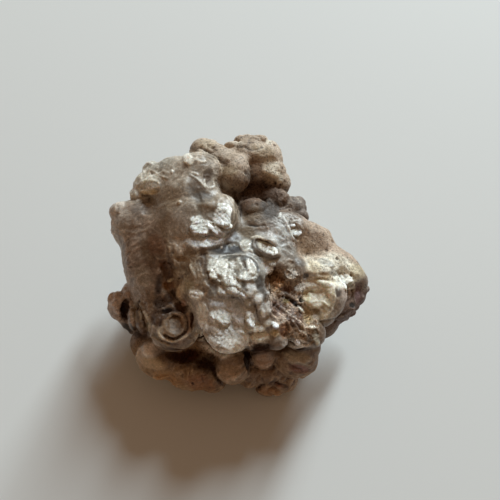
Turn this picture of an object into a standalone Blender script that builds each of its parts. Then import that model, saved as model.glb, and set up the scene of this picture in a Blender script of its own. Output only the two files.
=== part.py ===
"""Botryoidal chalcedony: one hand-sized lump of grape-like bubbles, grown as a single stone.

The frame is +Z up, with +X to the right and +Y away from someone who looks at the stone's front.
The origin is the centre of the flat break that the stone rests on.
"""

from dataclasses import dataclass
import math
import random

import bmesh
import bpy
from mathutils import Euler, Matrix, Vector, noise
from mathutils.bvhtree import BVHTree

MM = 0.001

# Driving dimensions, in millimetres
SKIN_VOXEL = 0.75
PIT_VOXEL = 0.6
BASE_CUT_HEIGHT = 0.0
GRAIN_DEPTH = 0.35
GRAIN_WAVE = 3.2
GROUND_SOFTNESS = 8
CREASE_SOFTNESS = 1
FACE_BUDGET = 9200

# The knobs of the back and the sides, in millimetres
KNOB_PLACES = 190
KNOB_SIZES = (2.6, 3.2, 3.8, 4.6)
KNOB_SINK = 0.35
KNOB_LOWEST_WAY = -0.75
KNOB_HIGHEST_WAY = 0.55
MIDDLE_HEIGHT = 18
BEHIND = 0.35
IN_FRONT = -0.25
BACK_TOP = 30
FOOT_TOP = 14


@dataclass(frozen=True)
class Lump:
    """One rounded growth, or one hollow: its centre, its half sizes and its turn in degrees."""

    name: str
    at: tuple
    half: tuple
    turn: tuple = (0, 0, 0)


# The masses that the bubbles grew over
CORE = (
    Lump("heart", (0, 1, 19), (22, 20, 15)),
    Lump("left_mass", (-13, 3, 19), (14, 17, 13)),
    Lump("right_mass", (14, -3, 17), (15, 13, 11)),
    Lump("back_mass", (2, 17, 20), (14, 15, 14)),
    Lump("back_upper", (-7, 23, 28), (11, 9, 9)),
    Lump("foot", (-4, -3, 8.5), (22, 18.5, 11)),
    Lump("back_foot", (0, 10, 9), (18, 15, 12)),
    Lump("right_foot", (11, -6, 9), (15, 14, 11)),
    Lump("front_foot", (6, -17, 9), (14, 6.5, 9)),
    Lump("front_waist", (-6, -15, 15), (13, 5, 6)),
    Lump("corner_waist", (16, -14.5, 18), (6, 5, 6)),
)

# The smooth, see-through lobes of the upper left, which later layers have drawn together
UPPER_LOBES = (
    Lump("shoulder", (-26.5, 11, 27.5), (8.4, 8, 8.2)),
    Lump("left_wall", (-22.5, 1, 24.5), (8.5, 17, 9), (15, 0, 20)),
    Lump("left_face", (-17, 3, 27.5), (9, 16, 8.5), (12, 18, 20)),
    Lump("left_wall_foot", (-20, -10.5, 20.5), (6.5, 7, 7)),
    Lump("top_left", (-16, 21.5, 33.5), (8, 7.5, 7.5)),
    Lump("top_middle", (-10.5, 22.5, 36), (6.8, 6.4, 6.5)),
    Lump("top_bridge", (-13, 16.5, 34.5), (9, 7, 7.5)),
    Lump("crown", (-12.5, 12, 33), (10, 11, 8)),
    Lump("top_right", (-6.5, 9.5, 35), (7, 7.5, 6)),
    Lump("ridge", (-6.5, -6, 29.5), (8, 17, 7), (9, 0, 18)),
    Lump("tongue", (-1.5, -18, 27.5), (7, 7.5, 4.5), (6, 0, 0)),
)

# The flatter, glossy ground in the middle
PLATEAU = (
    Lump("plateau", (4, -4, 29.5), (14, 15, 6.5)),
    Lump("plateau_back", (6, 6, 31), (11, 8, 5)),
    Lump("plateau_right", (13, 9, 29), (7.5, 6, 5)),
    Lump("front_lobes", (8.5, -15, 27), (7, 6.5, 4.5)),
)

# The cream and rusty ground that falls away to the right
RIGHT_SLOPE = (
    Lump("slope_upper", (20, 7, 25.5), (6.5, 6, 5.5)),
    Lump("slope_long", (26, 2.5, 22), (11, 5, 6), (0, 22, -22)),
    Lump("rusty_face", (15, -14, 25), (7, 7, 4.5)),
    Lump("front_corner", (19, -18.5, 23), (5, 4, 4)),
)

# Bubbles that keep a sharp crease where they meet the ground
UPPER_BUBBLES = (
    Lump("crust_outer", (-25, 20.5, 33.5), (3.4, 3.8, 3.8)),
    Lump("crust_inner", (-22.5, 24, 34), (3.2, 3.2, 3.6)),
    Lump("crust_lower", (-21, 18.5, 37), (3.4, 3.4, 2.8)),
    Lump("broken_bubble", (-16, -16.5, 23), (6.6, 6.6, 6)),
    Lump("top_right_cap", (-4.5, 9.5, 37), (5.2, 6, 3.8)),
    Lump("oval_bubble", (7.5, 1, 36), (3.6, 2.4, 2), (0, 0, -20)),
    Lump("small_patch", (2.2, -0.5, 35.7), (2.4, 2, 1.8)),
    Lump("grey_patch", (12.5, 8.5, 32.5), (4.2, 4.2, 2.6)),
    Lump("round_bubble", (16.5, 8.5, 32.5), (2.2, 2.2, 2.4)),
    Lump("island", (2, -7, 34.8), (5.6, 6.5, 2.8), (0, 0, 15)),
    Lump("rusty_bump", (15.5, -3, 29.5), (3.6, 3.4, 3.6)),
    Lump("slope_tip", (34.5, -1.5, 19), (2.2, 2.2, 2.5)),
    Lump("lip_left", (4.5, -18, 28.5), (2.6, 3.4, 2.4)),
    Lump("lip_right", (9.5, -19, 26.5), (4, 2.8, 2.8)),
    Lump("cream_lobe", (24.5, -8.5, 24), (4.8, 6.5, 5.5), (0, 0, -12)),
    Lump("cream_upper", (21, -3.5, 27), (6, 5.5, 4.6)),
    Lump("cream_crest", (29, -1, 24), (5, 3, 3), (0, 18, -15)),
    Lump("cream_shoulder", (25, 1, 26.5), (4.6, 3.6, 3)),
)

# The tan, dull knobs of the upper right, round a dark hollow
TAN_KNOBS = (
    Lump("tan_left", (-8.3, 31, 34.5), (4.1, 4, 4)),
    Lump("tan_neck", (-4.5, 28, 35.5), (3.9, 3.7, 3.7)),
    Lump("tan_round", (-0.5, 23.5, 36.5), (4.3, 4.8, 4.4)),
    Lump("tan_crest", (2.6, 35.5, 33), (3, 2.4, 2.4)),
    Lump("tan_crest_small", (6.3, 36, 33), (2.2, 2, 2)),
    Lump("tan_block_left", (3.5, 30.5, 33.5), (5.5, 4.6, 4.6)),
    Lump("tan_block", (9, 30, 32), (5, 5.4, 5)),
    Lump("tan_corner", (11.5, 25, 29), (4, 4, 4.2)),
    Lump("tan_wall", (10.5, 21, 25.5), (4.2, 5, 5)),
    Lump("round_bump", (4.4, 13, 31.5), (4.6, 4, 4.4)),
    Lump("small_bump", (9.6, 13, 29.5), (2.6, 2.4, 2.8)),
    Lump("saddle", (12, 17.5, 24.5), (5.5, 5, 5)),
    Lump("edge_bubble", (16, 18.5, 25), (3.6, 3.4, 3.4)),
    Lump("edge_bubble_small", (17.6, 16, 25), (2.3, 2.3, 2.5)),
)

# The bubbles under the front overhang
FRONT_KNOBS = (
    Lump("amber_lobe", (-20, -20.5, 13), (7.2, 6.5, 7)),
    Lump("amber_lobe_low", (-12.5, -23.5, 10.5), (7, 6, 6.5)),
    Lump("amber_lobe_end", (-6.8, -25, 8), (4.4, 4.4, 4.8)),
    Lump("amber_side", (-25, -17, 12.5), (4.2, 4.2, 5)),
    Lump("middle_bubble", (-1, -23.5, 13.5), (4.9, 4.8, 5)),
    Lump("lantern_bubble", (7.2, -21.3, 17.6), (3.4, 3.3, 3.5)),
    Lump("low_bubble_left", (3.4, -24.4, 8.8), (3.8, 3.4, 4)),
    Lump("low_bubble_right", (8.8, -24, 9), (3.6, 3.4, 3.8)),
    Lump("angular_bubble", (16, -22, 14), (6, 5, 6)),
    Lump("angular_top", (19.5, -19.5, 16.5), (3.2, 3.2, 3.5)),
    Lump("toe_bubble", (8.3, -26.3, 3.4), (3, 2.8, 3)),
    Lump("toe_bubble_right", (13, -24.8, 5.5), (3.8, 3.6, 3.8)),
)

# The dark knobs low on the right
RIGHT_KNOBS = (
    Lump("dark_knob_near", (27.5, -8.5, 15), (6.2, 5, 6.5)),
    Lump("dark_knob_far", (32, -4.5, 15.5), (4.2, 4.2, 4.5)),
    Lump("dark_knob_small", (35, -3, 17), (2, 2, 2.2)),
    Lump("dark_knob_low", (25, -12, 12.5), (4.6, 4.6, 5)),
)

# The small growth that sticks out low on the left
LEFT_KNOBS = (
    Lump("violet_knob", (-32.3, -7.5, 16), (3.8, 3.8, 4.2)),
    Lump("violet_knob_upper", (-29.3, -4.5, 17.5), (3.4, 3.4, 3.4)),
    Lump("violet_knob_lower", (-29.5, -10.5, 13), (2.8, 2.8, 3.2)),
    Lump("violet_neck", (-26, -7, 15), (5.5, 5.5, 4.6)),
    Lump("violet_root", (-24, -11.5, 13.5), (4, 3.6, 4)),
    Lump("flake_outer", (-26, -8.5, 19.5), (2.2, 4.5, 4), (0, 20, -15)),
    Lump("flake_inner", (-23.5, -11.5, 20.5), (2.2, 5, 4.5), (0, 20, -20)),
)

# What is eaten out of the stone
HOLLOWS = (
    Lump("dark_hollow", (4.8, 19, 34), (4.8, 4.6, 8), (20, 0, 0)),
    Lump("rusty_pocket", (10.5, -8.5, 34), (3.2, 4.4, 4)),
    Lump("rusty_basin", (14.5, -13, 33.5), (6, 8, 4.5), (0, 0, -12)),
    Lump("rusty_niche", (18.5, -15, 29.5), (2.6, 4, 3)),
    Lump("brown_channel", (-16.5, -9, 32), (2.8, 7, 4.5), (14, 0, 18)),
    Lump("under_ledge", (-9, -22, 18.5), (6.5, 5, 2.8)),
    Lump("under_tongue", (3.2, -21.5, 19.5), (2.2, 3.6, 3)),
    Lump("bubble_mouth", (-16.4, -18.4, 29.4), (4.6, 4.6, 3.4), (20, 0, 0)),
)

# What stands again inside the hollows
INNER = (
    Lump("bubble_core", (-16.4, -18.2, 25.2), (2.9, 2.9, 2.8)),
)


def remove_everything():
    """Clears the scene."""
    for old in list(bpy.data.objects):
        bpy.data.objects.remove(old, do_unlink=True)


def lump_matrix(lump):
    """Where a lump stands, how it is turned and how it is stretched, in metres."""
    turn = Euler([math.radians(a) for a in lump.turn]).to_matrix().to_4x4()
    stretch = Matrix.Diagonal((*[h * MM for h in lump.half], 1.0))
    return Matrix.Translation(Vector(lump.at) * MM) @ turn @ stretch


def lumps_mesh(name, lumps, detail=3):
    """All the lumps as closed balls in one mesh, still passing through each other."""
    bm = bmesh.new()
    for lump in lumps:
        bmesh.ops.create_icosphere(bm, subdivisions=detail, radius=1.0, matrix=lump_matrix(lump))
    mesh = bpy.data.meshes.new(name)
    bm.to_mesh(mesh)
    bm.free()
    return mesh


def add_object(name, mesh):
    """Puts a mesh into the scene."""
    made = bpy.data.objects.new(name, mesh)
    bpy.context.scene.collection.objects.link(made)
    return made


def join_into(obj, other):
    """Adds another object's mesh to this one's, and drops that object."""
    bm = bmesh.new()
    bm.from_mesh(obj.data)
    bm.from_mesh(other.data)
    bm.to_mesh(obj.data)
    bm.free()
    bpy.data.objects.remove(other, do_unlink=True)


def settle(obj):
    """Turns what the object's modifiers give into its own plain mesh."""
    graph = bpy.context.evaluated_depsgraph_get()
    settled = bpy.data.meshes.new_from_object(obj.evaluated_get(graph))
    obj.modifiers.clear()
    obj.data = settled


def skin_over(obj, voxel):
    """Grows one closed skin over the balls, which joins them."""
    skin = obj.modifiers.new("skin", "REMESH")
    skin.mode = "VOXEL"
    skin.voxel_size = voxel * MM
    settle(obj)


def soften(obj, times):
    """Rounds the creases a little, as later layers of chalcedony did."""
    smooth = obj.modifiers.new("soften", "SMOOTH")
    smooth.factor = 0.5
    smooth.iterations = times
    settle(obj)


def side_knobs(core, seed=7):
    """Knobs for the back and the sides: a spiral of places on the core, each with its own size."""
    tree = BVHTree.FromObject(core, bpy.context.evaluated_depsgraph_get())
    dice = random.Random(seed)
    middle = Vector((0, 0, MIDDLE_HEIGHT)) * MM
    far = 90 * MM
    grown = []
    for i, way in enumerate(spiral_ways(KNOB_PLACES)):
        size = dice.choice(KNOB_SIZES) * dice.uniform(0.9, 1.15)
        if not KNOB_LOWEST_WAY < way.z < KNOB_HIGHEST_WAY or way.y < IN_FRONT:
            continue
        hit = tree.ray_cast(middle + way * far, -way)[0]
        if hit is None:
            continue
        at = (hit - way * KNOB_SINK * size * MM) / MM
        if hidden_side(at, way):
            grown.append(Lump(f"side_knob_{i}", tuple(at), (size, size, size * 0.95)))
    return grown


def spiral_ways(count):
    """Directions that lie evenly over a ball, from its top down."""
    golden_angle = math.pi * (3.0 - math.sqrt(5.0))
    ways = []
    for i in range(count):
        height = 1.0 - 2.0 * (i + 0.5) / count
        ring = math.sqrt(1.0 - height * height)
        angle = i * golden_angle
        ways.append(Vector((ring * math.cos(angle), ring * math.sin(angle), height)))
    return ways


def hidden_side(at, way):
    """True where the front view doesn't already settle the stone's shape."""
    behind = way.y > BEHIND and at.z < BACK_TOP
    low = way.y > IN_FRONT and at.z < FOOT_TOP
    return behind or low


def roughen(obj):
    """Gives the skin the uneven swell of a natural surface."""
    grown = []
    for vertex in obj.data.vertices:
        swell = noise.noise(vertex.co / (GRAIN_WAVE * MM)) * GRAIN_DEPTH * MM
        grown.append(vertex.co + vertex.normal * swell)
    for vertex, place in zip(obj.data.vertices, grown):
        vertex.co = place


def thin_out(obj, faces):
    """Keeps the faces that the form needs."""
    triangles_now = len(obj.data.polygons) * 2
    fewer = obj.modifiers.new("fewer_faces", "DECIMATE")
    fewer.ratio = faces / triangles_now
    settle(obj)


def cut_base(obj, height):
    """Breaks the stone off flat where it rests."""
    bm = bmesh.new()
    bm.from_mesh(obj.data)
    everything = bm.verts[:] + bm.edges[:] + bm.faces[:]
    cut = bmesh.ops.bisect_plane(
        bm,
        geom=everything,
        plane_co=(0, 0, height * MM),
        plane_no=(0, 0, -1),
        clear_outer=True,
        dist=1e-6,
    )
    rim = [e for e in cut["geom_cut"] if isinstance(e, bmesh.types.BMEdge)]
    bmesh.ops.holes_fill(bm, edges=rim, sides=0)
    bmesh.ops.triangulate(bm, faces=bm.faces[:])
    bmesh.ops.recalc_face_normals(bm, faces=bm.faces[:])
    bm.to_mesh(obj.data)
    bm.free()


def hollow_out(obj, hollows):
    """Eats the hollows out of the stone."""
    for hollow in hollows:
        cutter = add_object(f"cutter_{hollow.name}", lumps_mesh(hollow.name, (hollow,)))
        cutter.hide_render = True
        cutter.display_type = "WIRE"
        cut = obj.modifiers.new(hollow.name, "BOOLEAN")
        cut.operation = "DIFFERENCE"
        cut.object = cutter
        settle(obj)
        bpy.data.objects.remove(cutter, do_unlink=True)


def chalcedony_material():
    """Dull, brownish grey chalcedony."""
    material = bpy.data.materials.new("chalcedony")
    material.use_nodes = True
    surface = material.node_tree.nodes["Principled BSDF"]
    surface.inputs["Base Color"].default_value = (0.30, 0.23, 0.17, 1.0)
    surface.inputs["Roughness"].default_value = 0.35
    surface.inputs["Metallic"].default_value = 0.0
    surface.inputs["IOR"].default_value = 1.54
    return material


def build_chalcedony():
    """Builds the stone."""
    core = add_object("core", lumps_mesh("core", CORE))
    skin_over(core, SKIN_VOXEL * 2)
    hidden = tuple(side_knobs(core))
    bpy.data.objects.remove(core, do_unlink=True)

    ground = UPPER_LOBES + PLATEAU + RIGHT_SLOPE
    stone = add_object("chalcedony", lumps_mesh("chalcedony", CORE + ground, 4))
    skin_over(stone, SKIN_VOXEL)
    soften(stone, GROUND_SOFTNESS)

    sharp = UPPER_BUBBLES + TAN_KNOBS + FRONT_KNOBS + RIGHT_KNOBS + LEFT_KNOBS + hidden
    bubbles = add_object("bubbles", lumps_mesh("bubbles", sharp))
    join_into(stone, bubbles)
    skin_over(stone, SKIN_VOXEL)
    hollow_out(stone, HOLLOWS)
    join_into(stone, add_object("inner", lumps_mesh("inner", INNER)))
    skin_over(stone, PIT_VOXEL)
    soften(stone, CREASE_SOFTNESS)
    roughen(stone)
    thin_out(stone, FACE_BUDGET)
    cut_base(stone, BASE_CUT_HEIGHT)
    stone.data.materials.append(chalcedony_material())
    stone.data.shade_smooth()
    return stone


def main():
    """Clears the scene and builds the stone."""
    remove_everything()
    build_chalcedony()


main()
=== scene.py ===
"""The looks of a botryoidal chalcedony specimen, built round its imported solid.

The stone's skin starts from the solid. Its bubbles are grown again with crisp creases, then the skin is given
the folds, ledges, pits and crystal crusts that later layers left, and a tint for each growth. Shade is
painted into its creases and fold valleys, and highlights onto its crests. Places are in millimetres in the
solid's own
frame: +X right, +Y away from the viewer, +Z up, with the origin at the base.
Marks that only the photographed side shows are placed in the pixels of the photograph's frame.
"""

from dataclasses import dataclass, field
from enum import Enum
from itertools import product
import logging
import math

import bmesh
import bpy
import numpy as np
from mathutils import Euler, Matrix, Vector

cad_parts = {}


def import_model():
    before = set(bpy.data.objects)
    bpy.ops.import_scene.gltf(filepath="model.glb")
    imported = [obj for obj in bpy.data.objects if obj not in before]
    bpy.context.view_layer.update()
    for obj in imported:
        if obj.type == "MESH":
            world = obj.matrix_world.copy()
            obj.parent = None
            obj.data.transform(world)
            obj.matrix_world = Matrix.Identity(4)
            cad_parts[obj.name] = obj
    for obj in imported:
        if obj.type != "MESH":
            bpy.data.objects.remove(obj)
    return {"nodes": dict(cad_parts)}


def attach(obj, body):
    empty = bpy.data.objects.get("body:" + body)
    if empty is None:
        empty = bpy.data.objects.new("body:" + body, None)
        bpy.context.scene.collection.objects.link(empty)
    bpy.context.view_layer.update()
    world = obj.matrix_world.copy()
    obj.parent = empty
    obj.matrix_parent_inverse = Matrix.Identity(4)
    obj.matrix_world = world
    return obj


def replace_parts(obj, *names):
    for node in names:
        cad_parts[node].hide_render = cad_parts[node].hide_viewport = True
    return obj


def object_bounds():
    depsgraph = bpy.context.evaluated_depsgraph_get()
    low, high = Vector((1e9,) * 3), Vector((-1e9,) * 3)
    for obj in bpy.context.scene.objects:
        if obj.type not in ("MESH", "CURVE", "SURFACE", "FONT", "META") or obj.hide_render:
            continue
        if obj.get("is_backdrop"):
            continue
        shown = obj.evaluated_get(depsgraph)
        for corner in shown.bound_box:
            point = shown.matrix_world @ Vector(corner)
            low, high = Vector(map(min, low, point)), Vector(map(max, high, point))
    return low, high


MM = 0.001
NODE = "chalcedony"
BODY = "root"

# Further than anything on the stone, in any unit
FAR = 1e9

# Odd numbers that stir the bits of a whole number
CELL_STIRRERS = (73856093, 19349663, 83492791)
SEED_STIRRER = 2654435761
BIT_STIRRERS = (2246822519, 3266489917)
LARGEST_WHOLE = 2.0**32 - 1

log = logging.getLogger("chalcedony")

Array = np.ndarray
Mesh = bpy.types.Mesh
Object = bpy.types.Object
Tree = bpy.types.NodeTree
Node = bpy.types.Node
Output = bpy.types.NodeSocket
Pair = tuple[float, float]
Triple = tuple[float, float, float]
Colour = tuple[float, float, float, float]


# Colours and nodes


def paint(code: str) -> Colour:
    """Turns an sRGB hex colour into Blender's linear colour.

    Args:
        code: the colour, such as "#c8bba6".

    Returns:
        Red, green, blue and alpha.
    """
    parts = [int(code[i : i + 2], 16) / 255 for i in (1, 3, 5)]
    linear = [c / 12.92 if c <= 0.04045 else ((c + 0.055) / 1.055) ** 2.4 for c in parts]
    return (linear[0], linear[1], linear[2], 1.0)


def put(tree: Tree, kind: str, inputs: dict | None = None, **settings: object) -> Node:
    """Adds one node with its settings and links.

    Args:
        tree: the node tree.
        kind: the node's type name.
        inputs: for each input, by name or number, its value or the output that feeds it.
        settings: the node's own properties.

    Returns:
        The node.
    """
    node = tree.nodes.new(kind)
    for name, value in settings.items():
        setattr(node, name, value)
    for key, value in (inputs or {}).items():
        if isinstance(value, Output):
            tree.links.new(value, node.inputs[key])
        else:
            node.inputs[key].default_value = value
    return node


def maths(tree: Tree, operation: str, *values: object) -> Output:
    """The output of a new maths node that works on values or outputs."""
    return put(tree, "ShaderNodeMath", dict(enumerate(values)), operation=operation).outputs[0]


def vectors(tree: Tree, operation: str, *values: object) -> Output:
    """The output of a new vector maths node that works on values or outputs."""
    return put(tree, "ShaderNodeVectorMath", dict(enumerate(values)), operation=operation).outputs[0]


def scaled(tree: Tree, vector: object, factor: object) -> Output:
    """The output of a new node that multiplies a vector by a number."""
    return put(tree, "ShaderNodeVectorMath", {0: vector, "Scale": factor}, operation="SCALE").outputs[0]


# Natural variation


def scramble(cells: Array, seed: int) -> Array:
    """Gives each whole-numbered cell its own three numbers from 0 to 1.

    Args:
        cells: whole numbers, one row of three for each cell.
        seed: a different seed gives different numbers.

    Returns:
        An array of the same shape as cells.
    """
    whole = cells.astype(np.int64).astype(np.uint32)
    stirrers = [np.uint32(stirrer) for stirrer in CELL_STIRRERS]
    h = whole[:, 0] * stirrers[0] ^ whole[:, 1] * stirrers[1] ^ whole[:, 2] * stirrers[2]
    h = h + np.uint32((seed * SEED_STIRRER + 97) % 2**32)
    first, second = (np.uint32(stirrer) for stirrer in BIT_STIRRERS)
    out = np.empty(cells.shape, np.float64)
    for axis in range(3):
        h = (h ^ (h >> np.uint32(15))) * first
        h = (h ^ (h >> np.uint32(13))) * second
        h = h ^ (h >> np.uint32(16))
        out[:, axis] = h / LARGEST_WHOLE
    return out


def waves(points: Array, length: float, seed: int = 0) -> Array:
    """Smooth variation from about -1 to 1.

    Args:
        points: places in mm.
        length: how far apart the swells are, in mm.
        seed: picks the pattern.

    Returns:
        One number for each place.
    """
    p = points / length
    cell = np.floor(p)
    f = p - cell
    u = f * f * f * (f * (f * 6 - 15) + 10)
    total = np.zeros(len(p))
    for way in product((0, 1), repeat=3):
        corner = np.array(way)
        slope = scramble(cell + corner, seed) * 2 - 1
        lean = (slope * (f - corner)).sum(1)
        total += lean * np.abs(1 - corner - u).prod(1)
    return total * 1.6


def rough_waves(points: Array, length: float, seed: int = 0, layers: int = 3) -> Array:
    """Variation with finer variation on it, from about -1 to 1."""
    total = np.zeros(len(points))
    for i in range(layers):
        total += waves(points, length / 2.03**i, seed + 11 * i) / 2**i
    return total / (2 - 0.5 ** (layers - 1))


def stirred(points: Array, length: float, amount: float, seed: int = 0) -> Array:
    """The places pushed about by up to the amount, which makes a pattern read there curl."""
    push = [waves(points, length, seed + 101 * i) for i in range(3)]
    return points + np.stack(push, 1) * amount


def folds(points: Array, length: float, seed: int = 0) -> Array:
    """Thin crests with wide valleys between them, from 0 to 1."""
    return (1 - np.minimum(np.abs(waves(points, length, seed)) * 1.7, 1)) ** 3


@dataclass
class Grains:
    """Cells that fill space, one round each of many scattered centres.

    Args:
        near: distance to the nearest centre, in cell sizes.
        kin: three numbers from 0 to 1 that belong to the nearest centre.
        offset: the way from that centre, in cell sizes.
    """

    near: Array
    kin: Array
    offset: Array

    def facets(self) -> Array:
        """Each grain as a flat face that leans its own way, about -0.4 to 0.4 high."""
        return (self.offset * (self.kin - 0.5)).sum(1) * 1.5


def grains(points: Array, size: float, seed: int = 0) -> Grains:
    """Finds the grain that each place is in.

    Args:
        points: places in mm.
        size: grain size in mm.
        seed: picks the pattern.

    Returns:
        The grains.
    """
    p = points / size
    cell = np.floor(p)
    near = np.full(len(p), FAR)
    kin = np.zeros((len(p), 3))
    offset = np.zeros((len(p), 3))
    for neighbour in product((-1, 0, 1), repeat=3):
        here = cell + np.array(neighbour)
        way = p - here - scramble(here, seed)
        far = np.sqrt((way * way).sum(1))
        nearer = far < near
        near[nearer] = far[nearer]
        offset[nearer] = way[nearer]
        kin[nearer] = scramble(here[nearer], seed + 7)
    return Grains(near, kin, offset)


def step(low: float, high: float, value: Array) -> Array:
    """Rises smoothly from 0 at low to 1 at high; high may be the smaller."""
    t = np.clip((value - low) / (high - low), 0, 1)
    return t * t * (3 - 2 * t)


# The photograph's point of view


@dataclass(frozen=True)
class Sight:
    """Where the photograph was taken from, and where each place lies in its 500-pixel frame.

    Args:
        target: the place it looks at, in mm.
        distance: how far the eye is from that, in mm.
        height: how far above level the eye is, in degrees.
        pixel: the width of one pixel at the target, in mm.
        middle: the middle of the frame, in pixels.
        cell: the width of the cells in which it finds what hides what, in pixels.
        cells: how many of them the frame is wide.
        slack: how far behind the foremost place of its cell another is still seen, in mm.
    """

    target: Triple = (3.6, 8.0, 20.0)
    distance: float = 230
    height: float = 62
    pixel: float = 0.28
    middle: float = 250
    cell: float = 1.6
    cells: int = 400
    slack: float = 1.3

    def axes(self) -> Array:
        """The ways to the right, up in the picture and back to the eye, one row each."""
        rise = math.radians(self.height)
        return np.array((
            (1, 0, 0),
            (0, math.sin(rise), math.cos(rise)),
            (0, -math.cos(rise), math.sin(rise)),
        ))

    def pixels(self, points: Array) -> tuple[Array, Array]:
        """Finds places in the frame.

        Args:
            points: places in mm.

        Returns:
            Each place's pixel, and how far in mm it lies from the target towards the eye.
        """
        right, up, back = self.axes() @ (points - np.array(self.target)).T
        scale = self.distance / (self.distance - back) / self.pixel
        return np.stack((self.middle + right * scale, self.middle - up * scale), 1), back

    def seen(self, points: Array) -> Array:
        """Tells 1 where nothing lies in front of a place, else 0."""
        pixels, back = self.pixels(points)
        cell = np.clip((pixels / self.cell).astype(int), 0, self.cells - 1)
        index = cell[:, 0] * self.cells + cell[:, 1]
        front = np.full(self.cells**2, -FAR)
        np.maximum.at(front, index, back)
        return (back > front[index] - self.slack).astype(float)

    def squeezed(self, points: Array, run: float, squeeze: float) -> Array:
        """The places drawn together along one way, so that a pattern read there is stretched along it.

        Args:
            points: places in mm.
            run: the way in the photograph, in degrees from the right, anticlockwise.
            squeeze: 1 leaves the places as they are, and less draws them together.

        Returns:
            The new places.
        """
        right, up, _ = self.axes()
        way = right * math.cos(math.radians(run)) + up * math.sin(math.radians(run))
        return points + (points @ way)[:, None] * way * (squeeze - 1)


SIGHT = Sight()


@dataclass
class Look:
    """The fresh skin as the photograph sees it.

    Args:
        pixels: where each place lies in the frame, pushed about a little so that marks come out uneven.
        seen: 1 where the photograph sees the place, falling to 0.
        rough: uneven numbers from -1 to 1.
        patchy: uneven numbers from 0 to 1.
    """

    pixels: Array
    seen: Array
    rough: Array
    patchy: Array

    def near(self, low: Array, high: Array) -> Array:
        """The numbers of the seen places in an upright box of pixels."""
        x, y = self.pixels[:, 0], self.pixels[:, 1]
        inside = (x > low[0]) & (x < high[0]) & (y > low[1]) & (y < high[1])
        return np.flatnonzero(inside & (self.seen > 0.02))


# Places on the stone


@dataclass(frozen=True)
class Spot:
    """A rounded region: its centre and half sizes in mm, its turn in degrees and its border."""

    name: str
    at: Triple
    half: Triple
    turn: Triple = (0, 0, 0)
    soft: float = 0.3
    ragged: float = 0.15

    def reach(self, points: Array) -> Array:
        """How far each place is from the centre, with 1 at the border, made uneven."""
        turn = np.array(Euler([math.radians(a) for a in self.turn]).to_matrix())
        local = (points - np.array(self.at)) @ turn / np.array(self.half)
        far = np.sqrt((local * local).sum(1))
        if self.ragged:
            close = far < 2.5
            far[close] += self.ragged * rough_waves(points[close], length=2.4, seed=len(self.name))
        return far

    def mask(self, points: Array) -> Array:
        """1 inside the spot, falling to 0 across its border."""
        return step(1 + self.soft, 1 - self.soft, self.reach(points))


def covered(points: Array, spots: tuple[Spot, ...]) -> Array:
    """1 inside any of the spots, falling to 0 across their borders."""
    return np.maximum.reduce([spot.mask(points) for spot in spots])


@dataclass(frozen=True)
class Tint(Spot):
    """A region with its own colour."""

    colour: str = "#808080"
    strength: float = 1.0


@dataclass(frozen=True)
class Dent(Spot):
    """A part where the skin stands back from the solid.

    Args:
        way: how far it stands back, in mm.
    """

    way: Triple = (0, 0, 0)


@dataclass(frozen=True)
class Folded(Spot):
    """A region whose skin lies in thin, curled folds and overlapping shells.

    Args:
        size: how far apart the main folds are, in mm.
        height: how high they stand, in mm.
        run: the way they run in the photograph, in degrees.
        squeeze: below 1, they are that much longer than they are wide.
        crest: the colour of their edges, a painted highlight.
        valley_shade: the colour between them, painted shade.
        show: how strongly those colours show.
    """

    size: float = 3.0
    height: float = 0.4
    run: float = 0.0
    squeeze: float = 1.0
    crest: str = "#d8d2c6"
    valley_shade: str = "#6b5d4f"
    show: float = 0.6

    def shape(self, points: Array) -> tuple[Array, Array, Array]:
        """Works out the folds.

        Args:
            points: places in mm.

        Returns:
            Their height in mm, and how much each place is crest and valley, from 0 to 1, which is where the
            painted highlight and shade go.
        """
        seed = 3 * len(self.name)
        q = SIGHT.squeezed(points, self.run, self.squeeze)
        q = stirred(q, self.size * 1.5, self.size * 0.45, seed)
        main = folds(q, self.size, seed + 3)
        curled = stirred(q, self.size * 0.6, self.size * 0.2, seed + 5)
        fine = folds(curled, self.size * 0.45, seed + 7)
        level = waves(q, self.size * 2.4, seed + 9) * 2.8
        part = level - np.floor(level)
        shell = part**1.5 * step(1.0, 0.84, part)
        edge = step(0.6, 0.84, part) * step(1.0, 0.9, part)
        height = self.height * (0.6 * main + 0.35 * fine + 0.6 * shell - 0.45)
        crest = np.clip(0.8 * main + 0.5 * fine + 0.7 * edge, 0, 1)
        valley_shade = step(0.3, 0.0, main) * step(0.5, 0.0, part)
        return height, crest, valley_shade


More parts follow.
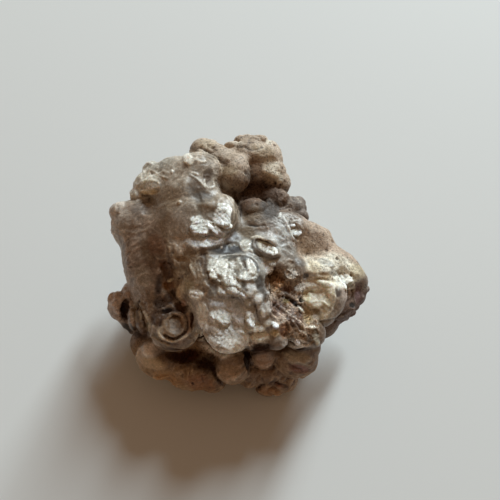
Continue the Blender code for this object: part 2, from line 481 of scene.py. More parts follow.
@dataclass(frozen=True)
class Blot:
    """An oval mark, placed in the photograph's frame.

    Args:
        name: what it is.
        at: its middle, in pixels.
        half: its half sizes, in pixels.
        colour: its colour, which on many marks is painted shade, a painted highlight or a painted glint.
        strength: how strongly the colour covers.
        turn: its turn in degrees, anticlockwise.
        lift: how far the skin stands up in its middle, in mm, or lies in below 0.
        soft: how wide its border is, as a part of its size.
        ragged: how uneven its border is.
        shine: how wet it looks, from 0 to 1; below 0 it leaves that as it is.
        level: how far its skin is turned up to the light, from 0 to 1.
    """

    name: str
    at: Pair
    half: Pair
    colour: str
    strength: float = 0.8
    turn: float = 0.0
    lift: float = 0.0
    soft: float = 0.35
    ragged: float = 0.25
    shine: float = -1.0
    level: float = 0.0

    def border(self, look: Look, margin: float = 1.0) -> tuple[Array, Array]:
        """Measures how far places are from the middle.

        Args:
            look: the skin as the photograph sees it.
            margin: how far past the border it measures, in half sizes.

        Returns:
            The numbers of the places, and for each how far it is from the middle, with 1 at the border.
        """
        room = max(self.half) * (1 + margin)
        at = np.array(self.at)
        index = look.near(at - room, at + room)
        angle = math.radians(self.turn)
        x, y = (look.pixels[index] - at).T
        along = (x * math.cos(angle) - y * math.sin(angle)) / self.half[0]
        across = (x * math.sin(angle) + y * math.cos(angle)) / self.half[1]
        return index, np.hypot(along, across) + self.ragged * look.rough[index]

    def inside(self, far: Array) -> Array:
        """1 inside the mark, falling to 0 across its border."""
        return step(1 + self.soft, 1 - self.soft, far)

    def stamp(self, look: Look) -> tuple[Array, Array, Array]:
        """Works out the mark.

        Args:
            look: the skin as the photograph sees it.

        Returns:
            The numbers of the places that it covers, how strongly from 0 to 1, and how high it lifts them.
        """
        index, far = self.border(look)
        cover = self.inside(far) * look.seen[index]
        return index, cover * self.strength, cover * self.lift


@dataclass(frozen=True)
class Druse(Blot):
    """A crust of tiny crystals in wrinkles that run one way in the photograph, in degrees."""

    shine: float = 0.8
    level: float = 0.8
    run: float = 0.0


def curved(points: tuple[Pair, ...]) -> Array:
    """A smooth curve through points, as a closer row of points."""
    p = np.array(points, float)
    p = np.concatenate((p[:1] * 2 - p[1:2], p, p[-1:] * 2 - p[-2:-1]))
    rows = []
    for i in range(1, len(p) - 2):
        for t in (0, 0.25, 0.5, 0.75):
            bend = (2 * p[i - 1] - 5 * p[i] + 4 * p[i + 1] - p[i + 2]) * t * t
            twist = (3 * p[i] - 3 * p[i + 1] + p[i + 2] - p[i - 1]) * t**3
            rows.append(p[i] + 0.5 * ((p[i + 1] - p[i - 1]) * t + bend + twist))
    rows.append(p[-2])
    return np.array(rows)


# How much of a line shows in its faintest parts, and how soon a ledge falls away behind its edge, in mm
FAINTEST_LINE = 0.35
LEDGE_WIDTH = 0.8


@dataclass(frozen=True)
class Line:
    """A crest, rim, ledge or crack along points placed in the photograph's frame.

    Args:
        name: what it is.
        points: the pixels that it passes through.
        colour: its colour; pale lines mostly paint highlights along crests and rims, and dark lines paint
            shade in the grooves they sink.
        strength: how strongly the colour covers.
        width: its width in mm.
        lift: how far it stands up, in mm, or lies in below 0.
        shelf: how far the skin on its right side stands up, in mm, going from its first point to its last.
        shine: as a blot's.
    """

    name: str
    points: tuple[Pair, ...]
    colour: str = "#d9d3c6"
    strength: float = 0.65
    width: float = 0.4
    lift: float = 0.3
    shelf: float = 0.0
    shine: float = -1.0

    def stamp(self, look: Look) -> tuple[Array, Array, Array]:
        """Works out the mark, as a blot's stamp does."""
        p = curved(self.points)
        room = 8 if self.shelf else 4
        index = look.near(p.min(0) - room, p.max(0) + room)
        spots = look.pixels[index]
        best = np.full(len(index), FAR)
        right = np.zeros(len(index))
        for a, b in zip(p, p[1:]):
            way = b - a
            t = np.clip((spots - a) @ way / (way @ way), 0, 1)
            off = spots - a - t[:, None] * way
            far = np.hypot(off[:, 0], off[:, 1])
            side = way[0] * (spots[:, 1] - a[1]) - way[1] * (spots[:, 0] - a[0]) > 0
            right = np.where(far < best, side, right)
            best = np.minimum(best, far)
        best *= SIGHT.pixel
        cover = np.exp(-((best / (self.width * 0.6)) ** 2)) * look.seen[index]
        cover *= FAINTEST_LINE + (1 - FAINTEST_LINE) * look.patchy[index]
        raised = self.shelf * right * np.exp(-best / LEDGE_WIDTH) * look.seen[index]
        return index, cover * self.strength, cover * self.lift + raised


BUBBLES = (
    Spot("crust_low", (-26.6, 18, 33), (2.3, 2.6, 2.4)),
    Spot("crust_side", (-25.2, 21.5, 34), (2.5, 2.6, 2.5)),
    Spot("crust_top", (-23.2, 25, 34.3), (2.6, 2.6, 2.5)),
    Spot("wall_corner", (-31.2, 13.2, 31.2), (3.4, 3.2, 3.2)),
    Spot("broken_bubble", (-16.2, -17.6, 23), (6.4, 5.6, 3.7)),
    Spot("tongue_dome", (-3.8, -17.0, 31), (3, 3.2, 3)),
    Spot("top_right_cap", (-4.5, 9.5, 37), (5.2, 6, 3.8)),
    Spot("cap_crease", (-8.5, 0.8, 34.8), (6, 3.6, 3)),
    Spot("tongue_floor", (-4.5, -20.3, 29.2), (3.6, 3.6, 3.2)),
    Spot("round_bubble", (16.5, 8.5, 32.5), (2.2, 2.2, 2.4)),
    Spot("pocket_roof", (14.8, -3.5, 29.8), (3.6, 3.2, 3.6)),
    Spot("cream_lobe", (24.3, -8.3, 24.5), (4.6, 5.5, 5.3), (0, 0, -12)),
    Spot("cream_lobe_low", (22.3, -13, 23.5), (4.2, 3.6, 4.2)),
    Spot("cream_lobe_left", (19.6, -9.5, 24.8), (3.4, 4.5, 3.8)),
    Spot("cream_upper", (21, -3.5, 27), (6, 5.5, 4.6)),
    Spot("tan_left", (-9.3, 31.2, 34.3), (3.9, 3.8, 4)),
    Spot("tan_left_mid", (-6.2, 29.2, 35), (4.1, 3.6, 3.9)),
    Spot("tan_neck", (-3.8, 26.5, 35.3), (4, 3.7, 3.9)),
    Spot("tan_round", (-0.6, 22, 36.0), (4.3, 4.6, 4.3)),
    Spot("tan_crest_left", (1.2, 35.4, 33.4), (2.2, 1.8, 1.9)),
    Spot("tan_crest", (4.6, 33.9, 34.4), (2.5, 2, 2.1)),
    Spot("tan_crest_small", (7.0, 35.2, 33.6), (1.9, 1.8, 2.1)),
    Spot("tan_shell", (-0.5, 32.6, 33.6), (3.2, 1.7, 2.6), (0, 0, -15)),
    Spot("tan_block_left", (3.5, 30.5, 33.0), (5.2, 4.4, 4.4)),
    Spot("tan_block", (9, 31, 31.5), (4.7, 5.2, 4.8)),
    Spot("tan_block_low", (10.6, 26.6, 31.3), (4.2, 3.8, 4.2)),
    Spot("tan_corner", (12.6, 24.4, 29.4), (3.4, 3.4, 3.9)),
    Spot("tan_under", (10.5, 19.6, 28.3), (4.6, 4, 3.8)),
    Spot("block_fill", (5, 27.4, 31.2), (5.2, 4.8, 4.6)),
    Spot("hollow_floor", (6, 22, 26.6), (7, 6, 3.6)),
    Spot("round_bump", (4.4, 13, 31.5), (4.6, 4, 4.4)),
    Spot("round_bump_right", (7.6, 11.2, 31.2), (3.2, 3, 3.6)),
    Spot("small_bump", (9.6, 13, 29.5), (2.6, 2.4, 2.8)),
    Spot("edge_bubble", (16, 18.5, 25), (3.6, 3.4, 3.4)),
    Spot("edge_bubble_small", (17.6, 16, 25), (2.3, 2.3, 2.5)),
    Spot("side_fin", (-25.4, -14, 21), (1.3, 3.4, 3.8), (0, 0, 12)),
    Spot("side_fin_outer", (-27.8, -13.2, 20), (1.2, 3.0, 3.4), (0, 0, 8)),
    Spot("amber_lobe", (-20, -20.5, 13), (7.2, 6.5, 7)),
    Spot("amber_lobe_low", (-12.5, -23.3, 10.5), (7, 6, 6.5)),
    Spot("amber_lobe_end", (-6.8, -24.8, 8), (4.4, 4.4, 4.8)),
    Spot("amber_side", (-25, -17, 12.5), (4.2, 4.2, 5)),
    Spot("middle_bubble", (-1, -23.7, 13.5), (4.9, 4.9, 5)),
    Spot("lantern_bubble", (7.2, -21.5, 17.6), (3.5, 3.5, 3.7)),
    Spot("low_bubble_left", (3.4, -24.4, 8.8), (3.8, 3.4, 4)),
    Spot("low_bubble_right", (8.8, -24, 9), (3.6, 3.4, 3.8)),
    Spot("lip_lobe", (5.2, -21.6, 26), (4.2, 2.8, 2.2)),
    Spot("lip_lobe_right", (10, -21.4, 26), (3.4, 2.6, 2.2)),
    Spot("angular_bubble", (16, -22, 14), (6, 5, 6)),
    Spot("angular_top", (19.5, -19.5, 16.5), (3.2, 3.2, 3.5)),
    Spot("toe_bubble", (8.3, -26.1, 3.6), (3, 2.8, 3)),
    Spot("toe_bubble_right", (13, -24.8, 5.5), (3.8, 3.6, 3.8)),
    Spot("dark_knob_near", (27.5, -8.5, 15), (6.2, 5, 6.5)),
    Spot("dark_knob_far", (32, -4.5, 15.5), (4.2, 4.2, 4.5)),
    Spot("dark_knob_small", (34.7, -3, 17), (2, 2, 2.2)),
    Spot("dark_knob_low", (25, -12, 12.5), (4.6, 4.6, 5)),
    Spot("violet_knob", (-32, -7.5, 16), (3.8, 3.8, 4.2)),
    Spot("violet_knob_upper", (-29.3, -4.5, 17.5), (3.4, 3.4, 3.4)),
    Spot("violet_knob_lower", (-29.5, -10.5, 13), (2.8, 2.8, 3.2)),
)

# The ground tint of each growth, all the way round
TINTS = (
    Tint("front_shade", (0, -24, 9), (34, 13, 12), (0, 0, 0), 0.3, 0.2, "#75593f", 0.9),
    Tint("back_rind", (4, 30, 14), (30, 18, 16), (0, 0, 0), 0.3, 0.2, "#8f7f6e", 0.8),
    Tint("left_wall", (-27, 1, 25), (13, 21, 15), (0, 0, 15), 0.25, 0.1, "#7d6b5c"),
    Tint("left_rim", (-34, 8, 27), (3.5, 13, 8), (0, 0, 10), 0.5, 0.1, "#a99c8f", 0.8),
    Tint("upper_lobes", (-14, 18, 38), (15, 13, 10), (0, 0, 0), 0.3, 0.15, "#968878"),
    Tint("crust_edge", (-24.5, 21, 35.5), (5.5, 7.5, 6), (0, 0, -20), 0.4, 0.2, "#b8b0a0", 0.8),
    Tint("beige_folds", (-13, -2, 35), (7, 15, 7), (0, 0, 14), 0.3, 0.2, "#8a7763"),
    Tint("tongue", (-3, -20, 31), (8, 7, 5), (0, 0, 0), 0.3, 0.2, "#d8d1c5"),
    Tint("grey_ground", (1, -4, 36), (9, 11, 4.5), (0, 0, 0), 0.25, 0.15, "#8a857d"),
    Tint("tan_slope", (24, 4.5, 28), (13, 7, 7), (0, 0, -18), 0.25, 0.12, "#b09a86"),
    Tint("cream_crest", (27, -2.6, 27), (11, 4.6, 6), (0, 0, -8), 0.25, 0.2, "#efe7d4"),
    Tint("cream_lobe", (22.5, -9.5, 27), (5, 6.5, 5), (0, 0, -12), 0.3, 0.2, "#e3d9c2"),
    Tint("tan_knobs", (3, 29, 34), (17, 11, 11), (0, 0, 0), 0.15, 0.1, "#b5a28f"),
    Tint("brown_bumps", (8.5, 12.5, 33), (8.5, 6.5, 6), (0, 0, 0), 0.25, 0.15, "#5f4b3a"),
    Tint("edge_knobs", (17, 17, 26), (5, 5, 6), (0, 0, 0), 0.3, 0.15, "#776a60"),
    # The hollow's dark brown is partly its own colour and partly painted shade
    Tint("dark_hollow", (5.5, 19.5, 28), (6.4, 5.6, 6.5), (0, 0, 0), 0.25, 0.15, "#4a3528"),
    Tint("pocket", (12.5, -10.5, 30.5), (6.2, 9.5, 5), (0, 0, 20), 0.2, 0.25, "#5f4834"),
    Tint("pocket_low", (17, -18.5, 27), (5, 4.5, 5), (0, 0, 0), 0.3, 0.3, "#857058"),
    Tint("violet_knobs", (-31.5, -7.5, 16.5), (5, 6, 6.5), (0, 0, 0), 0.15, 0.1, "#bcaca2"),
    Tint("dark_knobs", (30.5, -7.5, 16.5), (9, 8, 7), (0, 0, 0), 0.2, 0.15, "#75625a"),
    Tint("amber_lobes", (-17, -23, 12), (13, 10, 9), (0, 0, 0), 0.2, 0.1, "#8d6d48"),
)

# Each region's crest colour is a painted highlight on its fold edges, and its valley colour is painted shade
# between them
FOLDS = (
    Folded("crust", (-24, 20.5, 35.5), (7, 8.5, 7), (0, 0, -20), 0.3, 0.2,
        size=1.4, height=0.16, run=20, squeeze=0.7, crest="#e2dccf", valley_shade="#857a6c", show=0.6),
    Folded("lobe", (-13, 19, 39), (12, 12, 8), (0, 0, 0), 0.3, 0.2,
        size=2.6, height=0.13, run=40, squeeze=0.7, crest="#cdc4b7", valley_shade="#7b6e5f", show=0.45),
    Folded("cap", (-4, 9.5, 38), (6.5, 8, 6), (0, 0, 0), 0.3, 0.2,
        size=2.4, height=0.1, run=70, squeeze=0.6, crest="#bcb09e", valley_shade="#6f6151", show=0.4),
    Folded("left_wall", (-27, 1, 25), (13, 22, 14), (0, 0, 15), 0.2, 0.1,
        size=2.2, height=0.2, run=20, squeeze=0.5, crest="#b9a595", valley_shade="#3f2618", show=0.75),
    Folded("hollow", (7, 18, 29), (9, 8, 5), (0, 0, 0), 0.2, 0.1,
        size=2.2, height=0.35, run=20, squeeze=0.8, crest="#806b5b", valley_shade="#2c1a12", show=0.6),
    Folded("beige", (-12.5, -4, 34), (6.5, 14, 7), (0, 0, 14), 0.3, 0.2,
        size=1.8, height=0.3, run=110, squeeze=0.7, crest="#b5a28a", valley_shade="#4d3826", show=0.6),
    Folded("tongue_low", (-2, -21.5, 29), (10, 6, 5), (0, 0, 0), 0.3, 0.2,
        size=1.4, height=0.34, run=-50, squeeze=0.5, crest="#f2eadd", valley_shade="#9b8873", show=0.7),
    Folded("tongue", (-1, -16, 32), (9, 6, 4), (0, 0, 0), 0.3, 0.2,
        size=1.7, height=0.24, run=-55, squeeze=0.5, crest="#e6e2d9", valley_shade="#8f887f", show=0.5),
    Folded("grey_ground", (4, -3, 35), (15, 14, 5), (0, 0, 0), 0.2, 0.1,
        size=2.2, height=0.12, run=20, squeeze=0.7, crest="#bab6ae", valley_shade="#67625b", show=0.4),
    Folded("milky", (12.5, 5, 34.5), (5, 7.5, 4), (0, 0, -10), 0.3, 0.2,
        size=1.7, height=0.3, run=-50, squeeze=0.7, crest="#e6e4e0", valley_shade="#8a847d", show=0.6),
    Folded("ledge", (-18, -15.5, 25), (11, 9, 6), (0, 0, 0), 0.3, 0.2,
        size=1.9, height=0.3, run=100, squeeze=0.7, crest="#ab9880", valley_shade="#3b2413", show=0.6),
    Folded("cream", (24, -7, 27), (9, 9, 7), (0, 0, -8), 0.2, 0.2,
        size=1.8, height=0.1, run=-30, squeeze=0.7, crest="#f7f1e3", valley_shade="#c9b794", show=0.45),
    Folded("pocket", (13.5, -12, 29.5), (6.5, 11, 6), (0, 0, 15), 0.2, 0.2,
        size=1.0, height=0.3, run=-45, squeeze=0.3, crest="#cdb7a2", valley_shade="#2f1d12", show=0.7),
    Folded("front", (-1, -25, 10), (32, 10, 10), (0, 0, 0), 0.2, 0.1,
        size=2.3, height=0.26, run=15, squeeze=0.8, crest="#b9a085", valley_shade="#36231a", show=0.6),
)

# Crusts of tiny quartz crystals that mirror the light; their near-white colours are partly the crust's own
# white and partly painted highlight
DRUSES = (
    Druse("cap_body", (222.8, 215.5), (8.8, 12), "#e9e7dd", 0.93, -12, 0.3, 0.15, 0.35, run=-50, level=0.2),
    Druse("cap_top", (223.5, 207), (6.5, 3.2), "#f1efe6", 0.95, -25, 0.1, 0.2, 0.3, level=0.2, run=-20),
    Druse("cap_main", (223, 219), (8.5, 7), "#f4f2ea", 0.95, -20, 0.2, 0.2, 0.3, level=0.3, run=-50),
    Druse("cap_low", (226, 225.5), (5.5, 3.6), "#f3f1e9", 0.95, -15, 0.3, 0.15, 0.15, run=-30, level=0.3),
    Druse("left_upper", (196.5, 219.5), (7, 4.2), "#f4f2e9", 0.95, 10, 0.1, 0.2, 0.3, level=0.3, run=15),
    Druse("left_main", (200, 227), (9, 9.4), "#f1efe6", 0.95, -25, 0.35, 0.15, 0.3, run=-12, level=0.3),
    Druse("slanted", (214, 228), (10.8, 3.8), "#f6f4ec", 0.97, -46, 0.35, 0.15, 0.2, run=-46, level=0.3),
    Druse("fleck", (204.5, 244), (4.8, 3.6), "#fbfaf2", 0.97, 0, 0.15, 0.2, 0.2, run=0, level=1.0),
    Druse("fleck_small", (193, 246), (2.2, 1), "#f4eee2", 0.8, -40, 0.15, 0.3, 0.2, run=0),
    Druse("oval", (267.3, 248), (11.5, 4.8), "#f3efe2", 0.97, -32, 0.15, 0.12, 0.2, level=0.8, run=60),
    Druse("oval_right", (270, 250.5), (6.5, 3.6), "#f4f1e6", 0.9, -22, 0.1, 0.3, 0.3, level=0, run=60),
    Druse("round", (296, 231.5), (4.6, 4.6), "#f0eee6", 0.95, 0, 0.3, 0.15, 0.15, run=30),
    Druse("round_top", (293, 226), (2.6, 1.3), "#f2f0e9", 0.9, 0, 0.2, 0.2, 0.2, run=0),
    Druse("island", (228, 273), (18.5, 12), "#d3cfc3", 0.8, -38, 0.1, 0.2, 0.45, level=0.5, run=-50),
    Druse("island_left", (215, 268), (7.2, 9.6), "#ece9de", 0.92, 20, 0.15, 0.25, 0.4, level=0.4, run=-60),
    Druse("island_top", (225.5, 267.5), (7.4, 7), "#e3dfd2", 0.85, 0, 0.1, 0.3, 0.4, level=0.4, run=-55),
    Druse("island_bead", (234, 266), (4.4, 4.4), "#f4f2ea", 0.9, 0, 0.2, 0.3, 0.3, level=0.3, run=20),
    Druse("ring_left", (240.5, 266), (3, 7), "#b5b0a4", 0.9, 15, 0.15, 0.25, 0.3, level=0.4, run=80),
    Druse("ring_right", (251, 267), (4, 8), "#f1ede2", 0.95, 25, 0.15, 0.2, 0.3, level=0.4, run=-60),
    Druse("ring_low", (248, 276), (9, 5), "#e3dfd3", 0.95, 15, 0.15, 0.2, 0.35, level=0.4, run=20),
    Druse("island_mid", (227, 276.5), (9, 4.5), "#d9d5c9", 0.8, -30, 0.15, 0.35, 0.35, run=-40),
    Druse("island_low", (232, 285), (11, 7), "#ece8dd", 0.9, -35, 0.15, 0.25, 0.4, level=0.5, run=-45),
    Druse("island_foot", (234, 291), (15, 4.6), "#e9e6dc", 0.8, -12, 0.15, 0.3, 0.5, run=-40, level=0.4),
    Druse("lump_left", (223.5, 291.5), (4.8, 3.8), "#fbf8ee", 0.9, 0, 0.15, 0.4, 0.4, run=-50, level=0.6),
    Druse("lump_right", (233.5, 290.5), (5.2, 4.2), "#fbf8ee", 0.9, 0, 0.2, 0.3, 0.4, run=20, level=0.6),
    Druse("row_upper", (243.5, 295), (3, 5.4), "#fbf9f2", 0.9, 35, 0.2, 0.3, 0.4, run=40, level=0.6),
    Druse("row_lower", (248, 302), (3.2, 4.4), "#fbf9f2", 0.9, 20, 0.2, 0.3, 0.4, run=0, level=0.6),
    Druse("left_edge", (213, 275.5), (4.5, 2.6), "#e3dfd2", 0.85, -40, 0.2, 0.3, 0.3, run=-45),
    Druse("tongue_main", (222.5, 317), (8, 9), "#f6f2e8", 0.9, -20, 0.2, 0.5, 0.4, run=-50, level=0.6),
    Druse("tongue_left", (214.5, 315.5), (4, 4.6), "#e7e3d9", 0.85, 10, 0.15, 0.4, 0.3, run=-60),
    Druse("tongue_foot", (226, 335), (15, 19), "#e2dcd2", 0.6, -32, 0.15, 0.6, 0.5, run=-52, level=0.3),
    Druse("tongue_low", (231, 343), (8, 5), "#efe5d6", 0.6, -40, 0.1, 0.6, 0.6, run=-55, level=0.3),
    Druse("tongue_glint", (275, 324.5), (4.6, 2.8), "#f7f5ee", 0.97, -48, 0.35, 0.15, 0.15, run=0),
    Druse("ridge_foot", (250.5, 322), (2.6, 5.4), "#dcd8ce", 0.9, 10, 0.2, 0.3, 0.3, run=80),
    Druse("crest", (343, 280.5), (11, 7.5), "#f5eedd", 0.92, -35, 0.2, 0.3, 0.5, run=-40),
    Druse("crest_left", (326, 263), (9, 3.4), "#b3aea2", 0.8, -14, 0.15, 0.3, 0.35, run=-15, shine=0.2),
    Druse("hollow_white", (272, 263), (4, 3), "#e2dfd6", 0.8, -40, 0.2, 0.3, 0.3, run=0),
)

